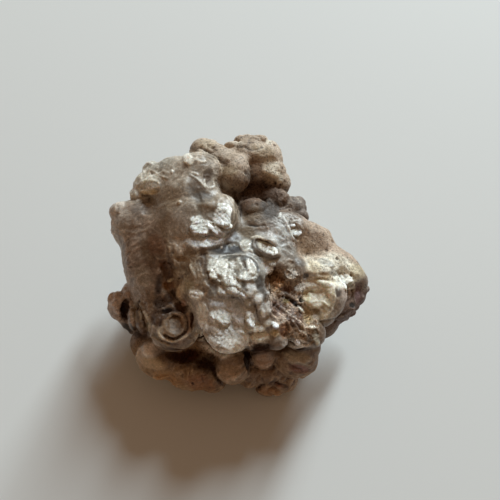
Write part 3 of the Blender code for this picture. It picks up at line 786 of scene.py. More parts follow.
BLOTS = (
    # the upper left crust and lobes
    Blot("cap_level", (211, 225), (18, 15), "#96928a", 0.45, -20, level=0.55),
    # foot_level, tongue_level and band_level are painted pale and cool: painted light on milky slopes that
    # face away from the lamp
    Blot("foot_level", (207, 241), (21, 6.5), "#dcdfe2", 0.7, 6, level=0.8),
    Blot("veil_middle", (182, 227), (15, 18), "#bdb4aa", 0.55, 0),
    Blot("tongue_level", (219, 325), (23, 27), "#d0d3d6", 0.5, 0, level=0.5),
    Blot("band_level", (228, 303), (17, 7), "#cfd3d8", 0.95, -3, level=0.7),
    Blot("glass_loops", (135, 190), (4.5, 7), "#e6e3da", 0.7),
    Blot("crust_tan", (150, 191.5), (8, 3.2), "#ecd6ae", 0.9, level=0.4),
    Blot("crust_grey", (160, 162), (15, 8), "#857f74", 0.5, 20),
    Blot("crest_glint", (188, 159), (4, 6), "#f3ecdf", 0.85, 30, 0.35),
    # Painted glint on a small bead
    Blot("bead_glint", (172, 171.5), (1.6, 1.9), "#efe8dc", 0.9, 0, 0.4),
    Blot("bead_pale", (179.5, 202), (1.9, 1.9), "#b5aa99", 0.85, 0, 0.4),
    Blot("brown_glass", (207.5, 177), (4.5, 7.5), "#5d4c3e", 0.85, -10, -0.15, shine=0.15),
    Blot("brown_glass_left", (195, 186), (6.5, 10), "#65523f", 0.8, 15, -0.1, shine=0.2),
    Blot("brown_fold", (204, 197), (9, 6), "#33251a", 0.85, -10, -0.1, shine=0.1),
    Blot("lobe_gutter", (199, 204), (3.5, 9), "#54452f", 0.5, 0, -0.2),
    Blot("lobe_olive", (166, 198), (17, 11), "#85715a", 0.6, 20),
    Blot("cap_face", (213, 203), (10, 8), "#7a6b58", 0.5, -30),
    Blot("cap_rim", (235, 212), (2.6, 15), "#6b5d4c", 0.75, -10),
    # Painted shade: the gutter is sunk and painted near black
    Blot("gutter", (238, 205), (3, 14), "#23170f", 0.85, 15, -0.45, shine=0.05),
    # Painted light: pale and cool on a slope that faces away from the lamp
    Blot("foot_grey", (220, 237), (10, 4.5), "#e8ebee", 0.9, 25, level=0.6),
    # the left wall
    Blot("wall_middle", (153, 252), (13, 19), "#5d442d", 0.85, 10),
    Blot("lobe_shade", (191, 192), (7, 7), "#5f5347", 0.5),
    Blot("lobe_shade_top", (207, 159), (7, 6), "#857869", 0.5),
    Blot("lobe_shade_low", (206, 191), (8, 8), "#6e6358", 0.5),
    Blot("wall_red", (157, 244), (9, 11), "#704a33", 0.5, 15),
    Blot("wall_veil", (121, 216), (8, 22), "#dad0c4", 0.75, 5),
    Blot("wall_olive", (141, 280), (9, 16), "#a69888", 0.7, 10),
    Blot("wall_left", (130, 222), (13, 11), "#85776a", 0.6),
    Blot("wall_top", (141, 207), (15, 6), "#7a6c60", 0.75, 10, shine=0.2),
    Blot("wall_foot", (150, 300), (8, 11), "#7d6650", 0.7, 15),
    # the brown channel and the beige folds
    Blot("channel_top", (163, 266), (4.5, 5), "#6b4930", 0.85, 20, -0.2, 0.6, 0.5),
    Blot("channel_edge", (170, 258), (3, 8), "#4c3322", 0.7, 15, -0.15, 0.5, 0.4),
    Blot("channel_amber", (167.5, 285), (7, 4), "#855a30", 0.85, -5, -0.1, 0.6, 0.5),
    Blot("channel_deep", (158.5, 288), (4, 10), "#2b180c", 0.9, -5, -0.25, 0.5, 0.4, 0.1),
    Blot("channel_low", (159, 303), (6, 7), "#2e1b0e", 0.9, 0, -0.2, 0.5, shine=0.1),
    Blot("channel_stone", (170, 280), (3.2, 1.8), "#f0e2c6", 0.95, 20, 0.4),
    Blot("channel_wall", (169, 273), (6, 7), "#5e412b", 0.75),
    Blot("inner_face", (168, 299), (6, 7), "#46301f", 0.88, 0, 0.2, 0.35, 0.25, 0.1),
    Blot("inner_deep", (181, 306), (7, 4.5), "#4d3321", 0.92, -20, -0.4, shine=0),
    # Painted shade: the dark gap is sunk and painted near black
    Blot("inner_dark", (165, 310.5), (8, 2.6), "#100704", 0.97, 12, -0.3, shine=0),
    Blot("pink_bump", (184, 303), (3.2, 3.2), "#9c7c6c", 0.85, 0, 0.5),
    Blot("beige_top", (179, 246), (7, 9), "#bfae9c", 0.7, 10, 0.25, level=0.5),
    Blot("beige_dark", (181, 259), (8, 3), "#a38869", 0.75, -8, -0.25),
    Blot("beige_middle", (183, 270), (9, 7), "#806e59", 0.7),
    Blot("black_dot", (179.5, 278), (1.1, 1), "#050303", 0.95, 0, -0.5),
    Blot("beige_pebble", (177, 275), (3, 5), "#a8947c", 0.7, 15, 0.3),
    Blot("olive_gloss", (188, 287), (6, 7), "#a3957a", 0.75, 0, 0.2),
    Blot("beige_low", (180.5, 292), (3.6, 9), "#efdcc0", 0.8, -15, 0.35),
    Blot("shell", (197, 294), (8, 6.5), "#c9c1b6", 0.7, -10, 0.3, level=0.4),
    Blot("shell_glint", (199, 294.5), (4.6, 1.6), "#fffaf0", 0.9, -15, 0.2),
    Blot("beige_foot", (193, 306), (7, 6), "#bdb2a4", 0.6),
    Blot("dark_side", (204, 262), (4, 18), "#5a4a3c", 0.6, 5, -0.2),
    # the grey ground
    Blot("dark_pool", (229, 249), (17, 4.6), "#56585b", 0.92, 3, -0.15, level=0.5),
    Blot("grey_pool", (232, 237), (8, 6), "#9a9ca0", 0.75, level=0.6),
    Blot("clear_patch", (236.5, 242), (3.2, 4.2), "#7d786f", 0.85, 0, -0.15, 0.2, 0.1),
    Blot("milky_lens", (245, 244.5), (5.6, 6.4), "#cdcac1", 0.9, 20, 0.12, 0.3, 0.25, 0.9),
    Blot("oval_ring", (266.8, 248.3), (14.2, 6.9), "#6b6056", 0.9, -30, -0.1, 0.1, 0.12, level=0.9),
    Blot("pale_dot", (221.5, 247), (1.2, 1), "#f0ede3", 0.85, 0, 0.2),
    Blot("white_dot", (252.3, 250.5), (1.6, 1.4), "#dedace", 0.9, 0, 0.3),
    Blot("white_dots", (231, 245), (3, 1.6), "#a9a59b", 0.6, 20, 0.1),
    Blot("ring_band", (238, 258.5), (18, 3.2), "#4d4943", 0.8, -4, 0.1),
    Blot("ring_side", (256, 269), (3.5, 8), "#191716", 0.75, 5),
    Blot("moat_deep", (259, 282), (5, 8), "#4a4743", 0.9, 15, -0.4),
    Blot("moat", (263, 290), (4.5, 12), "#6f6c68", 0.75, 10, -0.2),
    Blot("milky_stream", (250, 289), (6, 8), "#cfcdc8", 0.85, 20, 0.2, level=0.7),
    Blot("milky_foot", (257, 298), (6, 6), "#dcd9d3", 0.75, -30, 0.2, level=0.7),
    # Painted light: pale and cool on the underside of the crust, which faces away from the lamp
    Blot("under_island", (229, 297.5), (11, 2), "#e4e6e8", 0.85, -3, -0.15),
    Blot("milky_upper", (283, 229), (7.5, 11), "#b5b4b0", 0.85, 15, 0.3),
    Blot("milky_lower", (278, 243), (9, 6.5), "#a8a7a3", 0.75, -20, 0.2),
    Blot("milky_right", (290, 251), (8, 6), "#756d63", 0.65, -30, 0.1),
    Blot("milky_spike", (280, 216.5), (1.8, 3.4), "#d9d8d2", 0.85, -15, 0.4),
    Blot("milky_brown", (283, 260), (10, 4), "#8a7c6c", 0.55, -20),
    Blot("milky_corner", (266, 266), (5, 6), "#dfdbd4", 0.75, 20),
    # the brown bumps and the hollow
    Blot("bump_large", (253, 214), (11, 9), "#6a563f", 0.75, 0, 0.25),
    Blot("bump_left", (246, 204), (5, 9), "#5f4736", 0.75),
    # Painted shade: a crease under the bump, sunk and painted near black
    Blot("shade_under_bump", (256, 225.5), (9, 1.2), "#241710", 0.8, -3, -0.25),
    Blot("bump_right", (265, 226.5), (8, 4.4), "#6f5c4a", 0.7, 15, 0.25),
    # Painted shade: the block's shadow over the far bumps
    Blot("bump_far_shade", (270, 208), (10, 13), "#352a21", 0.85, -10),
    Blot("flat_beige", (247, 232), (9, 6), "#84745f", 0.7, -15),
    Blot("hollow_black", (254, 190), (13, 11), "#745c4c", 0.88, -15, shine=0),
    Blot("hollow_wall", (276, 193), (11, 8), "#6c584a", 0.8, -10),
    Blot("hollow_edge", (286, 196), (4, 6), "#77614f", 0.6, 10),
    # the tan knobs
    Blot("knob_pale_left", (206, 144), (9, 4.5), "#c2b298", 0.55, -5),
    Blot("knob_shade_left", (213, 156.5), (13, 2.2), "#33261c", 0.75, -32, -0.3),
    Blot("knob_round_pale", (229, 171), (9, 6), "#b3a288", 0.75),
    Blot("knob_round_low", (238, 188), (10, 9), "#745d46", 0.7, 20),
    Blot("knob_seam", (221, 189), (6, 8), "#a5988a", 0.6, 0),
    Blot("hollow_roof", (251, 173), (7, 6), "#3f2d21", 0.75, 20),
    Blot("knob_gap", (224, 163), (5, 4), "#65503c", 0.7, -20, -0.2),
    Blot("knob_shade", (224, 151), (24, 10), "#8d7c69", 0.4, 10),
    Blot("crest_knobs", (250, 139), (15, 5), "#87735f", 0.6),
    Blot("shell_white", (237, 144), (7, 2.6), "#d3c7b6", 0.75, -8, 0.2),
    Blot("block_pale", (263, 152), (12, 7), "#c2b094", 0.6, -15),
    # Painted highlight on the tan block's top and corner
    Blot("block_highlight", (272, 168), (9, 10), "#f2e9d6", 0.85, 30, 0.2, level=0.5),
    Blot("block_corner_highlight", (280, 177), (5.5, 6.5), "#e3d8c3", 0.7, 15, 0.2, level=0.4),
    Blot("block_shade", (256, 167), (6, 8), "#977e67", 0.8, 30, -0.3),
    Blot("block_low", (270, 179), (6, 5), "#c9b296", 0.75, -10),
    Blot("block_top_white", (269, 142), (4, 3), "#dcd3c2", 0.7, -40),
    # the tongue
    Blot("band_left", (213, 291), (4, 8), "#96948f", 0.8, -35, -0.2),
    # band_upper and grey_field: painted light, pale and cool on tongue slopes that face away from the lamp
    Blot("band_upper", (230, 302), (10, 2.4), "#d4d8dc", 0.85, -6, -0.1),
    Blot("band_corner", (238, 306.5), (4.5, 4), "#adaeac", 0.85, -40, -0.1, level=0.6),
    Blot("grey_field", (237, 315), (5, 10), "#e0e4e8", 0.75, 15, level=0.5),
    Blot("tongue_left", (203, 317), (5, 15), "#f6efe4", 1.0, 8, 0.2),
    Blot("tongue_foot", (200, 335), (8, 6), "#e9d8c1", 0.7, -10, level=0.5),
    Blot("tongue_edge", (216, 351), (15, 4), "#f3e6d6", 0.95, -20, 0.1),
    Blot("tongue_right", (238, 350), (7, 5), "#dfcbb2", 0.8),
    Blot("tongue_brown", (208, 334), (4, 5), "#6b5846", 0.6),
    Blot("ridge", (250, 315), (3.8, 12), "#d6d1c7", 0.85, 5, 0.4, level=0.7),
    Blot("gap", (257, 311), (1.4, 9), "#d0cccb", 0.8, 5, -0.2),
    Blot("milky_tongue", (266, 307), (8, 6), "#c6c3bc", 0.75, -40, 0.1, level=0.4),
    Blot("glint_small", (262.5, 313), (2.2, 4.6), "#efece4", 0.8, 10, 0.3),
    Blot("grey_lobe", (267, 321), (4, 6), "#d2ccc0", 0.65, 10, 0.2, level=0.6),
    Blot("lip_upper", (257, 327), (8, 4.4), "#f2eadb", 0.85, 0, 0.1, level=0.9),
    Blot("lip", (260, 336), (9.5, 4.6), "#fff7e4", 0.9, 0, 0.1, level=0.9),
    Blot("lip_right", (275, 333), (5, 3.4), "#d9c7a3", 0.75, level=0.6),
    Blot("lip_dark", (251, 333), (3, 2.4), "#8c7a62", 0.75, 0, -0.3),
    # the pocket
    Blot("pocket_rim_pale", (268, 267), (5, 8), "#e9e6e0", 0.8, 20, 0.3, level=0.8),
    Blot("pocket_deep", (276, 283), (8, 11.5), "#8d7050", 0.95, 15, -0.1, level=0.8),
    Blot("pocket_rust", (278, 281), (4, 7), "#c79f7c", 0.8, -20),
    Blot("pocket_roof", (291, 272), (9, 9), "#9d9285", 0.85, level=0.6),
    Blot("pocket_roof_edge", (285, 289), (6, 3), "#6b5144", 0.88, -20, -0.25, shine=0),
    Blot("black_hole_a", (306.3, 276.5), (2.4, 3.2), "#a0a4aa", 0.95, -15, -0.6, 0.2, 0.1),
    Blot("black_hole_b", (291, 288.5), (3.4, 2.4), "#876b5a", 0.9, -15, -0.4, 0.2, 0.1),
    # Painted shade: the small hole is sunk and painted near black
    Blot("black_hole_c", (302.5, 299.5), (3, 3), "#0a0606", 1.0, 0, -0.5, 0.15, 0.05, 0),
    Blot("grey_shelf", (299, 287), (8, 6), "#b0aaa1", 0.7, -25, 0.2, level=0.5),
    Blot("olive", (286, 301), (3.4, 2.8), "#66551f", 0.85, -20, 0.2),
    Blot("black_band", (295, 302.5), (7.5, 2.2), "#3b3d42", 0.9, -38, -0.25),
    Blot("rust_upper", (278, 308), (9, 7), "#4f2d1a", 0.75, -40),
    Blot("rust_middle", (295, 318), (9, 10), "#422415", 0.8, -50),
    Blot("rust_deep", (284, 331), (4.5, 7), "#8a6042", 0.8, 0, -0.2),
    Blot("rust_right", (305, 330), (4, 6), "#a5937f", 0.6, level=0.3),
    Blot("pocket_grey", (296, 344), (13, 4), "#f0eae2", 0.75, -5, level=0.6),
    Blot("pocket_rim", (303, 349.5), (9, 2), "#353132", 0.88, 6, -0.3),
    Blot("pocket_glint", (301.5, 309.5), (1.5, 4.6), "#f2ecdf", 0.95, 28, 0.4),
    Blot("pocket_glint_low", (312, 327.5), (4.4, 2), "#ece7da", 0.9, 0, 0.3),
    Blot("pocket_glint_foot", (297, 339), (2.2, 5), "#fffaf0", 0.97, 5, 0.5, level=1.0),
    Blot("pocket_glint_dark", (310, 338), (4, 4), "#6d6862", 0.7),
    # the cream crest and lobe
    Blot("crest_cream", (314, 267), (8.5, 6.5), "#eee2c8", 0.92, -20, 0.2),
    Blot("crest_brown", (327, 276), (8, 2.6), "#c2aa87", 0.75, -12, -0.2, level=0.4),
    Blot("crest_specks", (335, 273), (5.5, 3.4), "#5d4f43", 0.65, -20, -0.2),
    Blot("crest_hole", (351.3, 275), (1.6, 1.4), "#b09373", 0.92, 0, -0.5),
    Blot("crest_edge", (357, 272), (7, 9), "#c8b99b", 0.7, 40),
    Blot("crest_lit", (350, 287), (7, 6), "#fff6e2", 0.9, -30),
    Blot("crest_tip", (366, 286), (4, 6), "#96897d", 0.85),
    Blot("slope_grey", (300, 262), (8, 4), "#50473d", 0.65, -30),
    Blot("slope_brown", (312, 249), (16, 8), "#b8a48f", 0.75, -30),
    # Painted highlight on the top of the cream lobe
    Blot("fold_highlight", (325, 283.5), (9, 2.8), "#f1eee5", 1.0, -14, 0.3, level=0.6),
    Blot("fold_lit", (315, 285), (9, 6), "#f3ecdc", 0.95, -15, 0.1, level=0.9),
    Blot("fold_seam", (322, 281), (9, 3), "#e9dcc2", 0.7, -12, level=0.9),
    Blot("fold_pale", (317, 298), (12, 10), "#e6ddca", 0.85, -20, 0.2, level=0.7),
    Blot("fold_yellow", (307.5, 296), (3.4, 6), "#f3e7c6", 0.85, 10, 0.2),
    Blot("fold_brown_low", (317, 312), (4.5, 3.4), "#6b5535", 0.75, -30, -0.1),
    Blot("fold_right", (327, 304), (5, 9), "#c3b89f", 0.7, 15, 0.15, level=0.4),
    Blot("fold_foot", (308, 316), (4.5, 8), "#c7b189", 0.75, 10, 0.1),
    Blot("green_fold", (316.5, 338), (2.6, 8), "#b5b1a2", 0.75, 5, 0.2, level=0.5),
    # the dark knobs
    Blot("knob_brown", (347, 300), (13, 14), "#7d6859", 0.8, 20),
    # Painted shade: the notch is sunk and painted near black
    Blot("knob_hollow", (354, 307), (4, 2.8), "#120d0d", 0.92, -25, -0.3),
    Blot("knob_violet", (359, 296), (3, 11), "#9a8486", 0.88, 12, -0.4, shine=0.1),
    Blot("knob_face", (346, 292), (4.5, 8), "#c2afa2", 0.7, 12, 0.2, level=0.5),
    Blot("knob_face_low", (334, 312), (7, 6), "#796759", 0.65, -30, 0.2, level=0.4),
    Blot("knob_dark", (338, 293), (3.6, 5), "#3f322c", 0.8, 10, -0.3),
    Blot("knob_foot", (330, 328), (12, 7), "#7b6a5c", 0.6, 20),
    # round the broken bubble
    Blot("disc", (175, 326), (8.6, 11), "#7f6b56", 0.95, 0, -0.2, 0.15, 0.3, 0.2, 1.0),
    Blot("disc_shade", (181.5, 320), (1.6, 3.6), "#b3967d", 0.9),
    Blot("disc_flake", (166.5, 316.5), (4.5, 2.4), "#3f3024", 0.8, 35, 0.25),
    Blot("flank_pale", (149, 325), (2.6, 7), "#86785f", 0.8, 15, 0.3),
    Blot("flank_dark", (157, 318), (6, 10), "#513c2d", 0.9, 0),
    Blot("flank_shadow", (141, 334), (7, 5), "#463022", 0.8, 0),
    Blot("flank_olive", (157, 337), (5.5, 3.2), "#6f6045", 0.8, -20, 0.2),
    Blot("side_olive", (138, 311), (7, 10), "#77634b", 0.88, -5, 0.1, 0.35, 0.25, 0.1),
    # side_gap and shade_under_knob: gaps by the violet knob, sunk and painted near black as their shade
    Blot("side_gap", (124.5, 311), (4.4, 10), "#1b1114", 0.92, 0, -0.5, shine=0),
    Blot("side_brown", (141, 325), (4.6, 4), "#55402f", 0.75, -20, 0.2),
    Blot("shade_under_knob", (128, 328), (7, 4), "#0c0706", 0.85, -25, -0.3),
    Blot("right_gap", (191.5, 321), (1.6, 9), "#4a2819", 0.92, 3, -0.6),
    Blot("lip_under", (178, 344), (10, 3), "#7d6857", 0.7, 5, 0.2),
    # the front
    # Painted highlights on the front balls
    Blot("amber_highlight", (151, 350), (8, 7), "#fff3e8", 0.85, 0, 0.2, 0.5, level=0.9),
    Blot("middle_highlight", (233, 371), (7, 6), "#d8c2ac", 0.65, -30, 0.1, level=0.6),
    Blot("amber_ridge", (160, 376), (10, 3), "#cfae86", 0.6, 20, 0.2, level=0.4),
    Blot("amber_left", (141, 356), (4, 9), "#cdb69c", 0.6),
    Blot("amber_shell", (152, 363), (11, 6), "#d9c19f", 0.65, -15),
    Blot("amber_orange", (167, 379), (15, 8), "#a88158", 0.75, -10, level=0.3),
    Blot("amber_shadow", (180, 357), (22, 8), "#2f170c", 0.96, -10, -0.5, 0.7, shine=0.05),
    Blot("amber_shadow_right", (206, 364), (11, 9), "#2b150a", 0.93, -20, -0.4, 0.7, shine=0.05),
    Blot("amber_right", (200, 383), (15, 8), "#8e603f", 0.7, -10),
    Blot("amber_notch", (193, 383.5), (1.8, 1.2), "#3b2110", 0.9, -45, -0.3),
    Blot("middle_low", (230, 371), (12, 10), "#bda48c", 0.7, 0, 0.3, level=0.5),
    Blot("middle_top", (232, 362), (12, 5), "#7d6148", 0.6),
    Blot("lantern", (264, 361), (8.5, 7), "#b0927b", 0.85, 0, 0.4, level=0.5),
    Blot("lantern_top", (261, 350), (9, 3.6), "#4a2a1a", 0.85, shine=0.1),
    # Painted shade under the overhanging tongue and lip; gap_deep is also a real groove sunk into the skin
    Blot("gap_deep", (248, 360), (3.6, 12), "#20120b", 0.92, 5, -0.6),
    Blot("shade_under_lip", (262, 347), (12, 3.6), "#2c1a11", 0.85, shine=0.05),
    Blot("under_tongue", (190, 353), (12, 5), "#462511", 0.9, -15, shine=0.05),
    Blot("under_tongue_right", (250, 352), (8, 4), "#22130b", 0.9, shine=0.05),
    Blot("angular_olive", (297, 357), (13, 6), "#c4b7a3", 0.8, -8, 0.1, level=0.6),
    Blot("angular_red", (299, 369.5), (10, 3.6), "#8b6253", 0.88, -8, -0.4),
    Blot("toe", (270, 391), (12, 4.4), "#a3805f", 0.75, -10, 0.3, level=0.3),
    Blot("toe_red", (279, 385), (5, 2.4), "#946b56", 0.75, -20, -0.1),
    Blot("low_bubbles", (258, 378), (11, 6), "#87725f", 0.55),
)

# Pale lines along crests, rims and ledge edges are mostly painted highlights; dark lines that sink the skin
# are grooves painted dark as their shade
LINES = (
    # the upper left crust and lobes
    Line("loop_left", ((131, 195), (130, 188), (133, 183), (137, 184)), "#dbd9d3", 0.8, shine=0.8),
    Line("loop_middle", ((137, 197), (135, 190), (138, 184), (142, 180)), "#d3d0c9", 0.75, shine=0.8),
    Line("loop_top", ((144, 173), (143, 167), (147, 163), (153, 164)), "#dbd9d3", 0.75, shine=0.8),
    Line("arc_outer", ((141, 196), (140, 189), (142, 183), (147, 179), (151, 176)), "#e8e1d2", 0.85, 0.5,
        0.35),
    Line("arc_low", ((142, 191), (147, 190), (152, 188)), "#e8e0cf", 0.9, 0.5, 0.3),
    Line("arc_hook", ((147, 181), (152, 180), (158, 182), (159, 186), (155, 188)), "#e0d6c4", 0.85, 0.5, 0.3),
    Line("streak_a", ((150, 170), (156, 173), (162, 176), (168, 178)), "#cbc4b6"),
    Line("top_dark", ((172, 153), (180, 149), (190, 148), (196, 150)), "#5b5147", 0.85, 1.0, 0.2),
    Line("top_line", ((175, 157), (183, 152), (190, 152), (198, 151), (207, 153)), "#d3c8b7", 0.75),
    Line("crest_b", ((184, 162), (190, 165), (195, 160), (201, 162), (205, 161)), "#efe7d8", 0.85, 0.5, 0.4),
    Line("crest_d", ((190, 175), (196, 178), (201, 182), (205, 187)), "#cfc9be", 0.85, 0.45, 0.3, 0.1),
    Line("crest_d_top", ((191, 173), (195, 174), (198, 175)), "#f2ede1", 0.9, 0.4, 0.3),
    Line("knot_a", ((205, 180), (206, 186), (210, 188), (214, 187), (213, 182)), "#dad5c9", 0.85, 0.45),
    Line("rim_outer", ((207, 153), (214, 157), (219, 163), (221, 171), (220, 177)), "#a7967f", 0.7, 0.6, 0.35,
        0.3),
    Line("cap_outer", ((222, 190), (229, 195), (234, 203), (237, 212), (236, 221), (232, 229)), "#aea292",
        0.75, 0.4, 0.3),
    Line("cap_inner", ((226, 196), (232, 204), (234, 213), (232, 223), (228, 230)), "#beb3a2", 0.75, 0.45,
        0.35),
    Line("cap_foot", ((230, 231), (226, 238), (219, 241.5), (212, 240)), "#b9b3aa", 0.75),
    Line("left_foot", ((189, 232), (194, 236), (199, 240), (206, 240)), "#c9c2b5", 0.75, 0.5),
    # the left wall
    Line("wall_rim", ((110, 208), (111, 228), (116, 250), (120, 266), (126, 281)), "#c9bdb1", 0.75, 2.2, 0.2),
    Line("crest_crease", ((237, 147), (244, 146.5), (249, 149.5), (256, 150.5), (262, 147.5)), "#2d211a",
        0.85, 0.5, -0.2),
    Line("crest_split", ((249, 139), (249, 143), (247, 146)), "#3b2d23", 0.7, 0.4, -0.15),
    Line("wall_wave", ((138, 208), (148, 205), (158, 208), (166, 204)), "#b3a698", 0.6, 0.5, 0.15),
    Line("wall_wave_low", ((116, 237), (126, 232), (138, 233), (149, 228)), "#a59585", 0.6, 0.5, 0.15),
    Line("wall_box", ((128, 266), (124, 252), (128, 241), (139, 238)), "#9c8c7d", 0.55, 0.6, 0.15),
    Line("wall_inner", ((117, 208), (117, 228), (122, 252), (127, 272)), "#5b4a3e", 0.5, 0.8, -0.15),
    Line("wall_corner", ((108, 212), (116, 205), (126, 201), (133, 199)), "#958a7e", 0.55, 1.2, 0.2),
    Line("wall_ridge", ((167, 212), (165, 228), (168, 240), (170, 256)), "#8b7a67", 0.45, 1.6, 0.3),
    Line("wall_foot", ((131, 290), (134, 299), (140, 303), (145, 312), (147, 322)), "#a3978a", 0.7, 0.6, 0.3),
    # the channel and the beige folds
    Line("beige_fold", ((175, 285), (178, 292), (181, 300)), "#bda98f", 0.7, 0.6, 0.4),
    Line("beige_gully", ((172, 291), (176, 298), (180, 303)), "#2b1b11", 0.85, 0.7, -0.5),
    Line("cream_ledge", ((191, 265), (192, 270), (194, 275), (195.5, 278)), "#e6dfd0", 0.9, 0.5, 0.5),
    Line("shell_b", ((191, 294), (196, 291), (202, 293), (203, 297), (197, 298), (192, 296)), "#ece5d8", 0.8),
    # the grey ground
    Line("lens_edge", ((240, 243), (241, 247.5), (245, 250.5), (249, 249)), "#e4e2d8", 0.9, 0.4, 0.25),
    Line("ring_outline", ((219, 262), (221, 257), (228, 255), (238, 255), (247, 256), (254, 260), (259, 267),
        (259, 275), (254, 281)), "#b9b5ac", 0.85, 0.4, 0.35),
    Line("oval_arc", ((252, 237.5), (256, 236.5), (260, 237), (264, 239.5)), "#ece5d5", 0.95, 0.55, 0.15),
    Line("oval_outer", ((264, 239.5), (272, 241), (278, 246), (282, 251), (281, 256), (276, 260), (270, 261)),
        "#9b958c", 0.75, 0.45, 0.15),
    Line("oval_foot", ((250, 254), (257, 256), (262, 259), (266, 262)), "#aaa69d", 0.75, 0.4, 0.25),
    Line("oval_left", ((252, 240), (251.5, 246), (254, 251), (259, 256)), "#3d332b", 0.8, 0.6, -0.3),
    Line("moat_edge", ((266, 273), (269, 282), (269, 291), (267, 299)), "#b9b3aa", 0.75, 0.35, 0.35, 0.3),
    Line("milky_edge", ((283, 219), (287, 225), (290, 232), (293, 238), (297, 241)), "#e2e1dc", 0.9, 0.5,
        0.45),
    Line("round_rim", ((291, 222), (296, 223), (300, 226), (303, 230), (302, 236), (298, 239)), "#b3aca2",
        0.8),
    Line("gap_line", ((237, 281), (241, 286), (247, 291)), "#3f3c37", 0.75, 0.5, -0.4),
    # the tongue
    Line("band_outline", ((207, 286), (213, 291), (217, 297), (222, 301), (232, 299.5), (237, 302),
        (241, 307), (243, 315), (242, 324), (245, 330), (252, 332)), "#b7b3aa", 0.85, 0.4, 0.3),
    Line("ledge_left", ((203, 303), (207, 308), (210, 315), (211, 322)), "#d9d0c1", 0.8, 0.4, 0.4, 0.2),
    Line("rim_bright", ((240, 332), (244, 334), (246.5, 337), (246.5, 341)), "#efe7d9", 0.95, 0.55, 0.5),
    Line("ridge_bright", ((249, 316), (249, 321), (251, 326)), "#f6f3ec", 0.95, 0.45, 0.4),
    Line("gap_dark", ((254, 300), (256, 308), (257, 317), (259, 321)), "#5a534c", 0.8, 0.5, -0.35),
    Line("lip_edge", ((250, 339), (257, 339.5), (263, 342), (269, 339)), "#c9bfa9", 0.85, 0.4, 0.3),
    Line("tongue_rim", ((192, 342), (203, 348), (212, 354), (222, 358), (234, 358.5), (243, 356)), "#ab9780",
        0.6, 0.5, 0.2),
    # the pocket
    Line("curve_pale", ((281, 294.5), (285, 293.5), (290, 296), (295, 299)), "#bdb8b2", 0.9, 0.4, 0.35),
    Line("curve_dark", ((283, 297), (289, 299), (295, 304), (301, 306)), "#1f2025", 0.88, 0.7, -0.4),
    Line("hair_b", ((283, 308), (288, 312), (294, 317), (301, 322)), "#eadccb", 0.75, 0.25, 0.15),
    Line("hair_d", ((290, 326), (295, 332), (300, 339)), "#efe3d5", 0.75, 0.25, 0.15),
    Line("hair_g", ((279, 313), (284, 317), (289, 324), (292, 331)), "#dcc3ad", 0.85, 0.25, 0.3),
    Line("hair_h", ((292, 321), (297, 326), (302, 335)), "#efe4d8", 0.9, 0.25, 0.35),
    Line("pocket_foot", ((282, 341), (287, 344), (293, 348), (300, 351), (310, 349)), "#8a837c", 0.7, 0.4,
        0.3),
    # the cream lobe and the crest
    Line("lobe_edge", ((334, 289), (335, 297), (332, 306), (327, 314), (320, 319)), "#dcd3bf", 0.85, 0.5,
        0.35),
    Line("fold_edge", ((309, 303), (315, 301), (322, 302), (328, 306)), "#ebe3d0", 0.8, 0.45, 0.4),
    Line("knob_crease_low", ((320, 321), (329, 320), (340, 318), (350, 314)), "#3b302a", 0.7, 0.6, -0.4),
    # round the broken bubble
    Line("ring_groove", ((160, 326), (162, 318), (167, 312), (175, 309.5), (183, 311), (187, 317), (188, 326),
        (185, 333), (179, 338), (172, 339), (165, 336)), "#38241a", 0.9, 0.8, -0.6),
    Line("ring_shell", ((187.5, 313), (189.5, 321), (189, 330), (185, 336)), "#a08270", 0.8, 0.5, 0.3),
    Line("disc_rim", ((168, 319), (175, 313.5), (182, 317), (183.5, 325), (182, 333), (175, 338), (168, 334)),
        "#b8a58e", 0.6, 0.35, 0.15),
    Line("lip_bright", ((154, 326), (159, 332), (163, 338), (171, 341.5), (179, 340), (187, 335)), "#e6d6c0",
        0.9, 0.55, 0.45),
    Line("lip_groove", ((160, 340), (168, 343.5), (177, 344)), "#2f1d13", 0.85, 0.5, -0.35),
    Line("lip_lower", ((147, 330), (150, 336), (157, 338.5), (163, 343), (171, 347), (180, 348), (188, 346),
        (193, 341)), "#a9957d", 0.8, 0.55, 0.35),
    Line("flank_line", ((145, 312), (148, 318), (151, 326), (150, 332)), "#c4b8a4", 0.8, 0.45, 0.35),
    Line("flank_groove", ((152, 317), (155, 324), (157, 331)), "#4c3a2a", 0.75, 0.5, -0.35),
    Line("side_line", ((137, 301), (134, 310), (136, 320)), "#a8987c", 0.7, 0.5, 0.35),
    Line("side_dark", ((139.5, 301), (137.5, 310), (139, 320)), "#24180f", 0.8, 0.5, -0.5),
    Line("knob_gap", ((124, 302), (123, 310), (126, 319)), "#150b0b", 0.9, 1.3, -0.7),
    # the front
    Line("shell_outer", ((140, 349), (137, 357), (138, 365), (141, 371)), "#c9b49b", 0.75, 0.5, 0.35),
    Line("base_left", ((142, 371), (150, 377), (157, 384), (165, 389), (180, 391)), "#b59b80", 0.6, 0.6, 0.2),
    Line("amber_crack", ((202, 376), (203, 382)), "#2f1a0d", 0.85, 0.4, -0.3),
    Line("middle_rim", ((218, 371), (223, 379), (231, 383), (240, 380), (247, 371)), "#a98f78", 0.75, 0.5,
        0.25),
    Line("middle_crease", ((212, 368), (215, 376), (221, 383), (229, 387)), "#200f08", 0.85, 0.9, -0.6),
    Line("angular_ridge", ((283, 353), (290, 355), (300, 362), (311, 366)), "#b3a692", 0.75, 0.6, 0.45),
    Line("angular_crease", ((288, 364), (294, 368), (302, 371)), "#3a2018", 0.75, 0.6, -0.4),
    Line("toe_crease", ((258, 388), (266, 384), (276, 383), (286, 386)), "#260f0a", 0.8, 0.8, -0.5),
)

